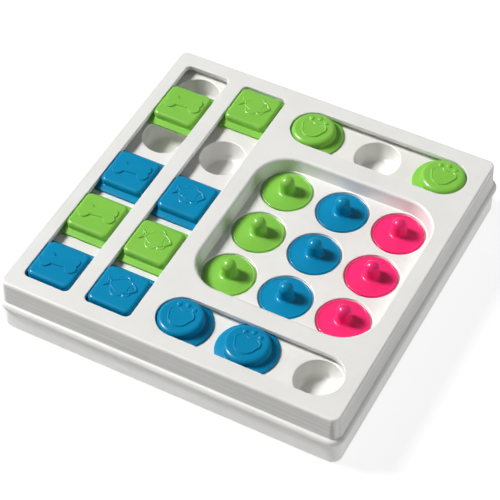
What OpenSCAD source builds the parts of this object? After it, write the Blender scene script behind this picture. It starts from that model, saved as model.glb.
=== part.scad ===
// Cat puzzle feeder: a board with sliding covers over food cups and a recess of lift-off lids.
// Frame: +Z up, X to the right along the front edge, Y to the back, origin under the middle of the board.

/* [Lids] */
// Bore in the recess floor that a lid drops into
lid_hole_d = 45.7; // [40:0.1:56]
// Gap all round between a lid and its bore
lid_gap = 0.9; // [0.3:0.05:1.2]
// How far the edge of a lid lies below the recess floor
lid_drop = 0.6; // [0.5:0.1:3]
// Thickness of a lid
lid_t = 2; // [1.4:0.1:3]
// Rise of a lid from its edge to the foot of its knob
lid_rise = 1.8; // [0.5:0.1:4]
// Diameter of a lid's knob
knob_d = 12.6; // [9:0.1:18]
// Height of the knob above its foot
knob_h = 15.5; // [11:0.1:24]
// Radius of the flare at the knob's foot
knob_flare_r = 2.6; // [1:0.1:4]
// Depth of the ring under a lid that keeps it in its well
spigot_h = 3; // [1.5:0.1:5]
// Thickness of that ring
spigot_t = 1.6; // [1.2:0.1:3]
// Gap between that ring and the well
spigot_gap = 0.6; // [0.3:0.1:1.5]

/* [Recess] */
// Strip of recess floor between two lids
lid_land = 5.8; // [5:0.1:12]
// Recess floor beside the outer lids, at the left and the right
lid_margin_x = 2.4; // [1:0.1:12]
// Recess floor beside the outer lids, at the front and the back
lid_margin_y = 1.5; // [1:0.1:12]
// Depth of the recess below the top face
recess_depth = 12.5; // [10:0.1:18]
// Corner radius of the recess at the top face
recess_corner_r = 33.5; // [26:0.5:34]
// Rounding of the edge of the recess
recess_edge_r = 3; // [1:0.1:4]
// How far the wall of the recess leans in on its way down
recess_slope = 2.2; // [0.5:0.1:5]
// Thickness of the wall of the recess
recess_wall_t = 2.4; // [1.6:0.1:3]

/* [Tracks] */
// Width of a straight slot
slot_w = 42; // [36:0.1:50]
// Corner radius of a straight slot
slot_corner_r = 2; // [1:0.1:6]
// Width of a round-ended slot
round_slot_w = 40.4; // [36:0.1:48]
// How far a round-ended slot stops short of the left edge of the recess
round_inset = 2.4; // [2:0.1:12]
// How far a straight groove runs on under the cover past the end of its slot
end_lap = 3; // [2:0.1:4]
// Strip of cover between a round tray and the wall of the recess
recess_strip = 4.6; // [4:0.1:12]
// Gap between two trays
tray_gap = 1.4; // [0.6:0.1:5]
// Wall and floor thickness of a tray
tray_t = 1.8; // [1.4:0.1:3]

/* [Sliders] */
// Length of a straight slider's block along its slot
block_l = 39; // [34:0.1:42]
// Corner radius of a straight slider's block
block_corner_r = 4; // [3:0.1:8]
// Rounding of the top edge of a straight slider
block_edge_r = 2.6; // [1:0.1:2.9]
// Rounding of the top edge of a round slider
round_edge_r = 4; // [1:0.1:4.4]
// Gap between a block and its slot, on each side
slide_gap = 1; // [0.5:0.1:2]
// How far a straight slider's flange reaches past its block
flange_lap = 5.2; // [3:0.1:6]
// How far a round slider's flange reaches past its block
round_flange_lap = 6.8; // [4:0.1:8]
// Thickness of a flange
flange_t = 3.4; // [2:0.1:4]
// Wall of a slider, which is hollow underneath
slider_t = 2.2; // [1.6:0.1:3]
// Thickness of a slider under its top face
slider_top_t = 4; // [3.4:0.1:4.6]
// Height of the relief on a slider
relief_h = 0.8; // [0.3:0.1:1]
// Running gap under a flange
run_gap = 0.3; // [0.2:0.05:0.5]
// Running gap above a flange
head_gap = 0.6; // [0.3:0.1:1.2]
// Gap between a flange and the wall of its groove
groove_gap = 0.5; // [0.3:0.1:1]
// Least gap left between two sliders, and at a groove's end
stop_gap = 0.4; // [0.3:0.05:1]

/* [Parked positions] */
// Share of a straight track's spare length in front of each bone slider
bone_parked = [0, 0.13, 0.065, 0.49]; // [0:0.005:1]
// Share of a straight track's spare length in front of each fish slider
fish_parked = [0, 0.075, 0.075, 0.85]; // [0:0.005:1]
// Share of the back round track's spare length to the left of each slider
back_parked = [0, 1]; // [0:0.005:1]
// Share of the front round track's spare length to the left of each slider
front_parked = [0, 0.095]; // [0:0.005:1]

/* [Cups] */
// Number of cups in a straight track
straight_cups = 5; // [3:1:5]
// Number of cups in a round-ended track
round_cups = 3; // [2:1:3]
// Diameter of a cup at its mouth
cup_d = 39.4; // [30:0.1:40]
// Depth of a cup
cup_depth = 17; // [10:0.5:24]
// How much narrower a cup is at its floor, in radius
cup_draw = 2; // [0.5:0.1:5]
// Rounding between a cup's wall and its floor
cup_round = 5; // [2:0.1:8]
// Wall of a cup
cup_t = 1.6; // [1.2:0.1:2]
// Diameter of a well at its ledge
well_d = 39; // [34:0.1:42]
// Depth of a well below its ledge
well_depth = 12.4; // [8:0.1:16]

/* [Case] */
// Thickness of the cover's top panel
panel_t = 4.2; // [3:0.1:6]
// Height of the cover
cover_h = 31; // [26:0.5:40]
// Thickness of the cover's wall
wall_t = 2.6; // [2:0.1:4]
// How far the cover's wall leans in on its way up
wall_draft = 1; // [0:0.1:1.4]
// Rounding of the cover's top edge
edge_r = 3; // [1:0.1:4]
// Corner radius of the cover's wall
corner_r = 14; // [12:0.5:20]
// Height of the rolled rim
rim_h = 8; // [4:0.1:10]
// How far the rolled rim stands out from the wall
rim_out = 3.5; // [2:0.1:4]
// Wall beside the straight slots and the recess
side_margin = 14.3; // [13:0.1:30]
// Wall in front of and behind the slots
end_margin = 16; // [15.5:0.1:30]
// Height of the base tray's skirt
skirt_h = 21.4; // [16:0.1:30]
// How far the skirt stands back under the rim
skirt_inset = 2.5; // [2.2:0.1:3]
// Thickness of the skirt
skirt_t = 2.4; // [2:0.1:4]
// Thickness of the base tray's floor
floor_t = 2.4; // [2:0.1:4]
// Height of the tongue that keeps the base tray inside the cover
tongue_h = 3; // [1.5:0.1:6]
// Thickness of the tongue
tongue_t = 1.6; // [1.2:0.1:3]
// Gap between the tongue and the cover
tongue_gap = 0.3; // [0.2:0.05:0.6]

/* [Feet and fasteners] */
// Diameter of a rubber foot
foot_d = 18; // [12:0.5:24]
// How far a foot stands out below the base tray
foot_h = 1.6; // [1:0.1:4]
// How deep a foot is set into the base tray
foot_seat = 1; // [0.6:0.1:1.4]
// Distance of a foot from the edges of the board
foot_inset = 24; // [16:0.5:60]
// Radius of a screw boss under the cover
boss_r = 3.2; // [2.8:0.1:3.4]
// Diameter of a screw's shank
screw_d = 2.2; // [1.8:0.1:2.6]
// Gap between a shank and its hole
screw_gap = 0.05; // [0.03:0.01:0.2]
// Diameter of a screw's head
head_d = 5; // [4:0.1:5.6]
// Height of a screw's head
head_h = 1.8; // [1.2:0.1:2.4]
// How far a screw reaches into its boss
screw_grip = 6; // [4:0.1:7]
// Wall round the head of a base screw
post_t = 1.4; // [1:0.1:2]

/* [Hidden] */
$fn = 64;
skin = 0.5;

// Sizes of the running gear
block_w = slot_w - 2 * slide_gap;
flange_w = block_w + 2 * flange_lap;
flange_l = block_l + 2 * flange_lap;
groove_w = flange_w + 2 * groove_gap;
round_block_d = round_slot_w - 2 * slide_gap;
round_flange_d = round_block_d + 2 * round_flange_lap;
round_groove_w = round_flange_d + 2 * groove_gap;
groove_h = run_gap + flange_t + head_gap;
straight_reach = (groove_w - slot_w) / 2 + tray_t;
round_reach = (round_groove_w - round_slot_w) / 2 + tray_t;

// The layout grows outwards from the grid of lids
lid_pitch = lid_hole_d + lid_land;
grid = 3 * lid_hole_d + 2 * lid_land;
recess_draw = recess_edge_r + recess_slope;
recess_w = grid + 2 * (lid_margin_x + recess_draw);
recess_d = grid + 2 * (lid_margin_y + recess_draw);
recess_land = round_reach + recess_wall_t + recess_strip;
slot_l = recess_d + 2 * (recess_land + round_slot_w);
slot_land = 2 * straight_reach + tray_gap;
mid_land = straight_reach + tray_gap + round_reach - round_inset;
board_w = 2 * side_margin + 2 * slot_w + slot_land + mid_land + recess_w;
board_d = slot_l + 2 * end_margin;
bone_x = -board_w / 2 + side_margin + slot_w / 2;
fish_x = bone_x + slot_w + slot_land;
recess_x = board_w / 2 - side_margin - recess_w / 2;
round_run = recess_w - round_inset - round_slot_w;
round_x = recess_x + round_inset / 2;
round_y = (slot_l - round_slot_w) / 2;

// Heights
base_z = foot_h;
foot_z = base_z + skirt_h;
top_z = foot_z + cover_h;
panel_z = top_z - panel_t;
bed_z = panel_z - groove_h;
recess_z = top_z - recess_depth;
flange_z = bed_z + run_gap;

// Lids and wells
lid_r = lid_hole_d / 2 - lid_gap;
seat_depth = lid_drop + lid_t;
ledge_z = recess_z - seat_depth;
spigot_r = well_d / 2 - cup_draw * spigot_h / (well_depth - cup_round) - spigot_gap;
lid_foot_r = knob_d / 2 + knob_flare_r;

// Travel of the sliders, with the groove ends as stops
groove_l = slot_l + 2 * end_lap;
straight_spare = groove_l - 4 * flange_l - 5 * stop_gap;
straight_stop = (groove_l - flange_l) / 2 - stop_gap;
round_spare = round_run - round_flange_d - stop_gap;
straight_cup_pitch = 2 * straight_stop / (straight_cups - 1);
round_cup_pitch = round_run / (round_cups - 1);

function run_sum(list, last) = last < 0 ? 0 : list[last] + run_sum(list, last - 1);
function straight_park(list, i) = i * (flange_l + stop_gap) + run_sum(list, i) * straight_spare - straight_stop;
function round_park(list, i) = i * (round_flange_d + stop_gap) + run_sum(list, i) * round_spare - round_run / 2;

// Screws: trays hang from the cover's panel, the base tray from its corners and its long sides
hole_d = screw_d + 2 * screw_gap;
post_r = head_d / 2 + screw_gap + post_t;
ear_r = boss_r + screw_gap;
straight_ear_x = slot_w / 2 - boss_r;
straight_ear_y = groove_l / 2 + tray_t + boss_r + skin;
round_ear = (round_groove_w / 2 + tray_t + boss_r + skin) * sqrt(0.5);
lid_tray_w = recess_w + 2 * boss_r - skin;
lid_tray_d = recess_d + 2 * boss_r - skin;
lid_tray_r = 2 * boss_r;
lid_ear_x = lid_tray_w / 2 - 2 * boss_r;
lid_ear_y = lid_tray_d / 2 - 2 * boss_r;
boss_in = wall_t + wall_draft + boss_r + skin;
base_boss_y = board_d / 2 - boss_in;
base_boss = [
    for (y = [-base_boss_y, base_boss_y])
        for (x = [-board_w / 2 + boss_in, bone_x + (slot_w + slot_land) / 2,
                  fish_x + slot_w / 2 + straight_reach + tray_gap / 2, board_w / 2 - boss_in])
            [x, y]
];
head_seat_z = foot_z - floor_t;

green = "#8ccd55";
blue = "#0090c4";
pink = "#ff2d78";
white = "#e6e5e1";

// Outlines

module rounded_rect(w, d, r) {
    square([w - 2 * r, d], center = true);
    square([w, d - 2 * r], center = true);
    for (x = [-1, 1], y = [-1, 1]) translate([x * (w / 2 - r), y * (d / 2 - r)]) circle(r);
}

module stadium(run, w) {
    square([run, w], center = true);
    for (x = [-1, 1]) translate([x * run / 2, 0]) circle(d = w);
}

// Carries a section round a rounded rectangle, with its X counted outwards from the corner centres
module around(w, d, r) {
    for (turn = [0 : 3]) {
        reach = turn % 2 == 0 ? w : d;
        run = turn % 2 == 0 ? d : w;
        rotate(90 * turn) translate([reach / 2 - r, run / 2 - r, 0]) {
            rotate_extrude(angle = 90) children();
            rotate([90, 0, 0]) linear_extrude(run - 2 * r) children();
        }
    }
}

// Top face with a rounded edge, from the corner centre out to the radius r and down to h
module rounded_edge(r, h, edge) {
    square([r - edge, h]);
    square([r, h - edge]);
    intersection() {
        translate([r - edge, h - edge]) circle(edge);
        square([r, h]);
    }
}

// Block with upright rounded corners and a rounded top edge
module pad(w, d, r, h, edge) {
    around(w, d, r) rounded_edge(r, h, edge);
    translate([r - w / 2, r - d / 2, 0]) cube([w - 2 * r, d - 2 * r, h]);
}

// Half section of a bowl whose mouth lies at height 0, with the wall open upwards to rise
module bowl_section(r, depth, draw, round_r, rise) {
    low_r = r - draw;
    polygon([[0, rise], [r, rise], [r, 0], [low_r, round_r - depth], [0, round_r - depth]]);
    translate([0, -depth]) square([low_r - round_r, depth]);
    intersection() {
        translate([low_r - round_r, round_r - depth]) circle(round_r);
        translate([0, -depth]) square([low_r, depth]);
    }
}

module cup_body(r, depth) {
    rotate_extrude() bowl_section(r + cup_t, depth + cup_t, cup_draw, cup_round + cup_t, 0);
}

module cup_space(r, depth, rise) {
    rotate_extrude() bowl_section(r, depth, cup_draw, cup_round, rise);
}

module pan_screw(reach) {
    translate([0, 0, -head_h / 2]) cylinder(d = head_d, h = head_h / 2);
    translate([0, 0, -head_h]) cylinder(d1 = head_d - head_h, d2 = head_d, h = head_h / 2);
    cylinder(d = screw_d, h = reach);
}

// Places of the tray screws, each with the height of the tray's ear

module at_straight_ears(x) {
    for (sx = [-1, 1], sy = [-1, 1]) translate([x + sx * straight_ear_x, sy * straight_ear_y, 0]) children();
}

module at_round_ears(y) {
    for (sx = [-1, 1], sy = [-1, 1])
        translate([round_x + sx * (round_run / 2 + round_ear), y + sy * round_ear, 0]) children();
}

module at_lid_ears() {
    for (sx = [-1, 1], sy = [-1, 1]) translate([recess_x + sx * lid_ear_x, sy * lid_ear_y, 0]) children();
}

module at_track_ears() {
    for (x = [bone_x, fish_x]) at_straight_ears(x) children();
    for (y = [-round_y, round_y]) at_round_ears(y) children();
}

// Case

module cover_section() {
    lean = atan(wall_draft / (cover_h - rim_h));
    edge_x = corner_r - wall_draft - edge_r * (1 - sin(lean)) / cos(lean);
    polygon([
        [corner_r - wall_t, foot_z], [corner_r, foot_z], [corner_r, foot_z + rim_h],
        [edge_x + edge_r * cos(lean), top_z - edge_r * (1 - sin(lean))], [edge_x, top_z],
        [edge_x - skin, top_z], [edge_x - skin, panel_z], [corner_r - wall_draft - wall_t, panel_z]
    ]);
    intersection() {
        translate([edge_x, top_z - edge_r]) circle(edge_r);
        translate([edge_x, top_z - edge_r]) square(edge_r);
    }
    intersection() {
        translate([corner_r + rim_out - rim_h / 2, foot_z + rim_h / 2]) circle(rim_h / 2);
        translate([corner_r - wall_t, foot_z]) square(rim_h);
    }
}

module recess_wall_section() {
    wall_r = recess_corner_r - recess_edge_r;
    polygon([
        [wall_r - recess_slope - skin, recess_z], [wall_r - recess_slope + recess_wall_t, recess_z],
        [wall_r + recess_wall_t, panel_z], [wall_r + recess_wall_t, top_z - recess_edge_r],
        [wall_r - skin, top_z - recess_edge_r]
    ]);
}

module recess_space() {
    wall_r = recess_corner_r - recess_edge_r;
    around(recess_w, recess_d, recess_corner_r) {
        polygon([
            [0, recess_z - skin], [wall_r - recess_slope, recess_z - skin], [wall_r - recess_slope, recess_z],
            [wall_r, top_z - recess_edge_r], [wall_r, top_z + skin], [0, top_z + skin]
        ]);
        difference() {
            translate([wall_r - skin, top_z - recess_edge_r]) square([recess_edge_r + skin, recess_edge_r]);
            translate([recess_corner_r, top_z - recess_edge_r]) circle(recess_edge_r);
        }
    }
    core = [recess_w - 2 * recess_corner_r, recess_d - 2 * recess_corner_r, recess_depth + 2 * skin];
    translate([-core.x / 2, -core.y / 2, recess_z - skin]) cube(core);
}

module top_cover() {
    panel_in = wall_draft + edge_r;
    color(white) difference() {
        union() {
            around(board_w, board_d, corner_r) cover_section();
            translate([0, 0, panel_z]) linear_extrude(panel_t)
                rounded_rect(board_w - 2 * panel_in, board_d - 2 * panel_in, corner_r - panel_in);
            translate([recess_x, 0, 0]) around(recess_w, recess_d, recess_corner_r) recess_wall_section();
            at_track_ears() translate([0, 0, bed_z]) cylinder(r = boss_r, h = panel_z - bed_z + skin);
            at_lid_ears() translate([0, 0, recess_z]) cylinder(r = boss_r, h = panel_z - recess_z + skin);
            for (p = base_boss) translate([p.x, p.y, foot_z]) cylinder(r = boss_r, h = cover_h - panel_t + skin);
        }
        for (x = [bone_x, fish_x])
            translate([x, 0, panel_z - skin]) linear_extrude(panel_t + 2 * skin)
                rounded_rect(slot_w, slot_l, slot_corner_r);
        for (y = [-round_y, round_y])
            translate([round_x, y, panel_z - skin]) linear_extrude(panel_t + 2 * skin)
                stadium(round_run, round_slot_w);
        translate([recess_x, 0, 0]) recess_space();
        at_track_ears() translate([0, 0, bed_z - skin]) cylinder(d = hole_d, h = screw_grip + 2 * skin);
        at_lid_ears() translate([0, 0, recess_z - skin]) cylinder(d = hole_d, h = screw_grip + 2 * skin);
        for (p = base_boss) translate([p.x, p.y, foot_z - skin]) cylinder(d = hole_d, h = screw_grip + 2 * skin);
    }
}

module base_tray() {
    skirt_out = rim_out - skirt_inset;
    base_w = board_w + 2 * skirt_out;
    base_d = board_d + 2 * skirt_out;
    base_r = corner_r + skirt_out;
    tongue_w = board_w - 2 * (wall_t + tongue_gap);
    tongue_d = board_d - 2 * (wall_t + tongue_gap);
    tongue_r = corner_r - wall_t - tongue_gap;
    color(white) difference() {
        union() {
            translate([0, 0, base_z]) linear_extrude(skirt_h) difference() {
                rounded_rect(base_w, base_d, base_r);
                rounded_rect(base_w - 2 * skirt_t, base_d - 2 * skirt_t, base_r - skirt_t);
            }
            translate([0, 0, base_z]) linear_extrude(floor_t)
                rounded_rect(base_w - skirt_t, base_d - skirt_t, base_r - skirt_t / 2);
            translate([0, 0, foot_z - tongue_h]) linear_extrude(2 * tongue_h) difference() {
                rounded_rect(tongue_w, tongue_d, tongue_r);
                rounded_rect(tongue_w - 2 * tongue_t, tongue_d - 2 * tongue_t, tongue_r - tongue_t);
            }
            translate([0, 0, foot_z - tongue_h]) linear_extrude(tongue_h) difference() {
                rounded_rect(base_w - skirt_t, base_d - skirt_t, base_r - skirt_t / 2);
                rounded_rect(tongue_w - 2 * tongue_t, tongue_d - 2 * tongue_t, tongue_r - tongue_t);
            }
            for (p = base_boss) translate([p.x, p.y, base_z]) cylinder(r = post_r, h = skirt_h);
        }
        for (p = base_boss) translate([p.x, p.y, 0]) {
            translate([0, 0, foot_z]) cylinder(r = boss_r + tongue_gap, h = 2 * tongue_h);
            cylinder(d = hole_d, h = top_z);
            cylinder(d = head_d + 2 * screw_gap, h = head_seat_z);
        }
        at_feet() translate([0, 0, base_z - skin]) cylinder(d = foot_d + 2 * tongue_gap, h = foot_seat + skin);
    }
}

module at_feet() {
    for (sx = [-1, 1], sy = [-1, 1])
        translate([sx * (board_w / 2 - foot_inset), sy * (board_d / 2 - foot_inset), 0]) children();
}

module rubber_feet() {
    color("#3a3a3c") at_feet() translate([0, 0, foot_h + foot_seat]) rotate([180, 0, 0])
        rotate_extrude() rounded_edge(foot_d / 2, foot_h + foot_seat, foot_h / 2);
}

// Trays

module track_cups(count, pitch) {
    for (i = [0 : count - 1]) translate([0, (i - (count - 1) / 2) * pitch, bed_z]) children();
}

module straight_tray(x) {
    outer_w = groove_w + 2 * tray_t;
    outer_l = groove_l + 2 * tray_t;
    color(white) difference() {
        union() {
            translate([x, 0, bed_z - tray_t]) linear_extrude(groove_h + tray_t)
                rounded_rect(outer_w, outer_l, slot_corner_r + tray_t);
            translate([x, 0, bed_z - tray_t]) linear_extrude(tray_t)
                rounded_rect(2 * (straight_ear_x + ear_r), 2 * (straight_ear_y + ear_r), ear_r);
            translate([x, 0, 0]) track_cups(straight_cups, straight_cup_pitch) cup_body(cup_d / 2, cup_depth);
        }
        translate([x, 0, bed_z]) linear_extrude(groove_h + skin) rounded_rect(groove_w, groove_l, slot_corner_r);
        translate([x, 0, 0]) track_cups(straight_cups, straight_cup_pitch)
            cup_space(cup_d / 2, cup_depth, groove_h);
        at_straight_ears(x) translate([0, 0, bed_z - tray_t - skin]) cylinder(d = hole_d, h = tray_t + 2 * skin);
    }
}

module round_tray(y) {
    color(white) difference() {
        union() {
            translate([round_x, y, bed_z - tray_t]) linear_extrude(groove_h + tray_t)
                stadium(round_run, round_groove_w + 2 * tray_t);
            at_round_ears(y) translate([0, 0, bed_z - tray_t]) cylinder(r = ear_r, h = tray_t);
            translate([round_x, y, bed_z - tray_t]) linear_extrude(tray_t)
                rounded_rect(round_run + 2 * round_ear, 2 * (round_ear + ear_r), ear_r);
            translate([round_x, y, 0]) rotate(90) track_cups(round_cups, round_cup_pitch)
                cup_body(cup_d / 2, cup_depth);
        }
        translate([round_x, y, bed_z]) linear_extrude(groove_h + skin) stadium(round_run, round_groove_w);
        translate([round_x, y, 0]) rotate(90) track_cups(round_cups, round_cup_pitch)
            cup_space(cup_d / 2, cup_depth, groove_h);
        at_round_ears(y) translate([0, 0, bed_z - tray_t - skin]) cylinder(d = hole_d, h = tray_t + 2 * skin);
    }
}

module at_lids() {
    for (i = [-1 : 1], j = [-1 : 1]) translate([recess_x + i * lid_pitch, j * lid_pitch, 0]) children();
}

module lid_tray() {
    color(white) difference() {
        union() {
            translate([recess_x, 0, recess_z - tray_t]) linear_extrude(tray_t)
                rounded_rect(lid_tray_w, lid_tray_d, lid_tray_r);
            at_lids() translate([0, 0, ledge_z - cup_t]) cylinder(d = lid_hole_d + 2 * cup_t, h = seat_depth + cup_t);
            at_lids() translate([0, 0, ledge_z]) cup_body(well_d / 2, well_depth);
        }
        at_lids() translate([0, 0, ledge_z]) cylinder(d = lid_hole_d, h = seat_depth + skin);
        at_lids() translate([0, 0, ledge_z]) cup_space(well_d / 2, well_depth, skin);
        at_lid_ears() translate([0, 0, recess_z - tray_t - skin]) cylinder(d = hole_d, h = tray_t + 2 * skin);
    }
}

module tray_screws() {
    color("#b9bcc0") {
        at_track_ears() translate([0, 0, bed_z - tray_t]) pan_screw(tray_t + screw_grip);
        at_lid_ears() translate([0, 0, recess_z - tray_t]) pan_screw(tray_t + screw_grip);
    }
}

module base_screws() {
    color("#b9bcc0")
        for (p = base_boss) translate([p.x, p.y, head_seat_z]) pan_screw(foot_z - head_seat_z + screw_grip);
}

// Reliefs on the sliders

module bone_relief() {
    bone_l = 24;
    lobe_r = 4.6;
    lobe_y = 3.7;
    shaft_w = 7;
    tilt = 10;
    rotate(tilt) {
        square([bone_l, shaft_w], center = true);
        for (x = [-1, 1], y = [-1, 1]) translate([x * bone_l / 2, y * lobe_y]) circle(lobe_r);
    }
}

module fish_relief() {
    body_l = 25;
    body_w = 14;
    bow_r = (pow(body_l, 2) + pow(body_w, 2)) / (4 * body_w);
    tail_l = 7;
    tail_w = 12;
    tail_notch = 2;
    nose_x = 15;
    translate([nose_x - body_l / 2, 0]) intersection() {
        translate([0, bow_r - body_w / 2]) circle(bow_r);
        translate([0, body_w / 2 - bow_r]) circle(bow_r);
    }
    translate([nose_x - body_l + tail_l / 2, 0])
        polygon([[0, 0], [-tail_l, tail_w / 2], [tail_notch - tail_l, 0], [-tail_l, -tail_w / 2]]);
}

module paw_relief() {
    pad_r = 8.8;
    pad_spread = 1.6;
    pad_y = -2.5;
    toe_r = 2.4;
    toe_reach = 14;
    toe_turn = 32;
    tilt = 12;
    translate([0, pad_y]) {
        for (x = [-1, 1]) translate([x * pad_spread, 0]) circle(pad_r);
        for (turn = [-toe_turn, 0, toe_turn]) rotate(turn + tilt) translate([0, toe_reach]) circle(toe_r);
    }
}

// Sliders

module straight_slider(x, y, tint) {
    hollow_w = block_w - 2 * slider_t;
    hollow_l = block_l - 2 * slider_t;
    height = top_z - flange_z;
    color(tint) translate([x, y, flange_z]) {
        difference() {
            union() {
                linear_extrude(flange_t) rounded_rect(flange_w, flange_l, block_corner_r);
                pad(block_w, block_l, block_corner_r, height, block_edge_r);
            }
            translate([0, 0, -skin]) linear_extrude(height - slider_top_t + skin)
                rounded_rect(hollow_w, hollow_l, block_corner_r - slider_t / 2);
        }
        translate([0, 0, height - slider_t / 2]) linear_extrude(slider_t / 2 + relief_h) children();
    }
}

module round_slider(x, y, tint) {
    height = top_z - flange_z;
    color(tint) translate([x, y, flange_z]) {
        difference() {
            union() {
                cylinder(d = round_flange_d, h = flange_t);
                rotate_extrude() rounded_edge(round_block_d / 2, height, round_edge_r);
            }
            translate([0, 0, -skin]) cylinder(d = round_block_d - 2 * slider_t, h = height - slider_top_t + skin);
        }
        translate([0, 0, height - slider_t / 2]) linear_extrude(slider_t / 2 + relief_h) children();
    }
}

module bone_slider(i) {
    straight_slider(bone_x, straight_park(bone_parked, i), i % 2 == 0 ? blue : green) bone_relief();
}

module fish_slider(i) {
    straight_slider(fish_x, straight_park(fish_parked, i), i % 2 == 0 ? blue : green) fish_relief();
}

module back_paw_slider(i) {
    round_slider(round_x + round_park(back_parked, i), round_y, green) paw_relief();
}

module front_paw_slider(i) {
    round_slider(round_x + round_park(front_parked, i), -round_y, blue) paw_relief();
}

// Lids

module lid_section() {
    knob_z = lid_t + lid_rise;
    dome_r = knob_d / 2;
    polygon([[0, 0], [lid_r, 0], [lid_r, lid_t], [lid_foot_r, knob_z], [0, knob_z]]);
    square([dome_r, knob_z + knob_h - dome_r]);
    intersection() {
        translate([0, knob_z + knob_h - dome_r]) circle(dome_r);
        square([dome_r, knob_z + knob_h]);
    }
    difference() {
        square([lid_foot_r, knob_z + knob_flare_r]);
        translate([lid_foot_r, knob_z + knob_flare_r]) circle(knob_flare_r);
    }
    translate([spigot_r - spigot_t, -spigot_h]) square([spigot_t, spigot_h + lid_t / 2]);
}

module lid_hollow() {
    bore_r = knob_d / 2 - lid_t;
    inner_r = spigot_r - spigot_t;
    polygon([[0, -skin], [inner_r, -skin], [inner_r, 0], [lid_foot_r, lid_rise], [0, lid_rise]]);
    square([bore_r, lid_t + lid_rise + knob_h - 2 * lid_t]);
}

module lid(column, row, tint) {
    color(tint) translate([recess_x + column * lid_pitch, row * lid_pitch, ledge_z])
        rotate_extrude() difference() {
            lid_section();
            lid_hollow();
        }
}

base_tray();
top_cover();
straight_tray(bone_x);  // bone_track_tray
straight_tray(fish_x);  // fish_track_tray
round_tray(round_y);  // back_track_tray
round_tray(-round_y);  // front_track_tray
lid_tray();
rubber_feet();
tray_screws();
base_screws();
for (i = [0 : 3]) {
    bone_slider(i);
    fish_slider(i);
}
for (i = [0 : 1]) {
    back_paw_slider(i);
    front_paw_slider(i);
}
for (row = [-1 : 1]) {
    lid(-1, row, green);
    lid(0, row, blue);
    lid(1, row, pink);
}
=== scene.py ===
"""Looks of the cat puzzle feeder: moulded meshes, finishes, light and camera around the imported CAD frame."""

from __future__ import annotations

import logging
import math
from dataclasses import dataclass, replace
from enum import Enum
from functools import cache
from typing import Sequence

import bmesh
import bpy
import numpy as np
from mathutils import Matrix, Vector

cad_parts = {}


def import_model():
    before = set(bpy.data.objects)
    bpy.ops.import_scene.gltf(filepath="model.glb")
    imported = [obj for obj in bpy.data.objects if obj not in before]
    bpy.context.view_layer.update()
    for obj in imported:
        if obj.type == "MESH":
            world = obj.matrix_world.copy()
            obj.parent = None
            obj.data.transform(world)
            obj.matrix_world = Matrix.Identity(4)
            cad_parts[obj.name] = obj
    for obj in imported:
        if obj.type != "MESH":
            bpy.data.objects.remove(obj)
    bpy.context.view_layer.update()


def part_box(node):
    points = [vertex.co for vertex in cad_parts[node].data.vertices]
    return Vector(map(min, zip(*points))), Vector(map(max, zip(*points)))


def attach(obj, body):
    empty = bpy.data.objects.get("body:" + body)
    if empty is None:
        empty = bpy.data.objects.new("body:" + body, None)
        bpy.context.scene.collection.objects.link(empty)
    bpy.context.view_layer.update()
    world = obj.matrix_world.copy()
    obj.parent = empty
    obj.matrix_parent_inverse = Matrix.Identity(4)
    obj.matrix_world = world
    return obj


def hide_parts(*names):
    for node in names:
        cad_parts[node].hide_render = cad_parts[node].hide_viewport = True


log = logging.getLogger("puzzle_feeder")

MM = 0.001
NO_LENGTH = 1e-6
SIDES = (-1, 1)
CORNERS = ((-1, -1), (-1, 1), (1, -1), (1, 1))

# Angles in degrees from which an edge stays crisp
CRISP = 34.0
EAR_CRISP = 40.0
SHEET_CRISP = 50.0

Point = tuple[float, float]
Place = tuple[float, float, float]
Colour = tuple[float, float, float]
Loop = list[bmesh.types.BMVert]
Ear = tuple[np.ndarray, tuple[Point, ...]]
Inputs = dict[str | int, object]


def linear(code: str) -> Colour:
    """Turns a written colour into linear light.

    Args:
        code: six hexadecimal digits, red, green and blue.

    Returns:
        The three linear channels.
    """
    channels = [int(code[i : i + 2], 16) / 255 for i in (0, 2, 4)]
    red, green, blue = (c / 12.92 if c <= 0.04045 else ((c + 0.055) / 1.055) ** 2.4 for c in channels)
    return red, green, blue


def grey(tone: float) -> tuple[float, float, float, float]:
    """A full grey colour from one linear tone."""
    return tone, tone, tone, 1.0


def arc(centre: Point, radius: float, start: float, stop: float, steps: int) -> list[Point]:
    """Points along an arc of a section.

    Args:
        centre: centre of the arc.
        radius: its radius.
        start: first angle in degrees.
        stop: last angle in degrees.
        steps: number of pieces the arc is cut into.

    Returns:
        The points from start to stop, both ends included.
    """
    angles = np.radians(np.linspace(start, stop, steps + 1))
    return [(centre[0] + radius * math.cos(a), centre[1] + radius * math.sin(a)) for a in angles]


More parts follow.
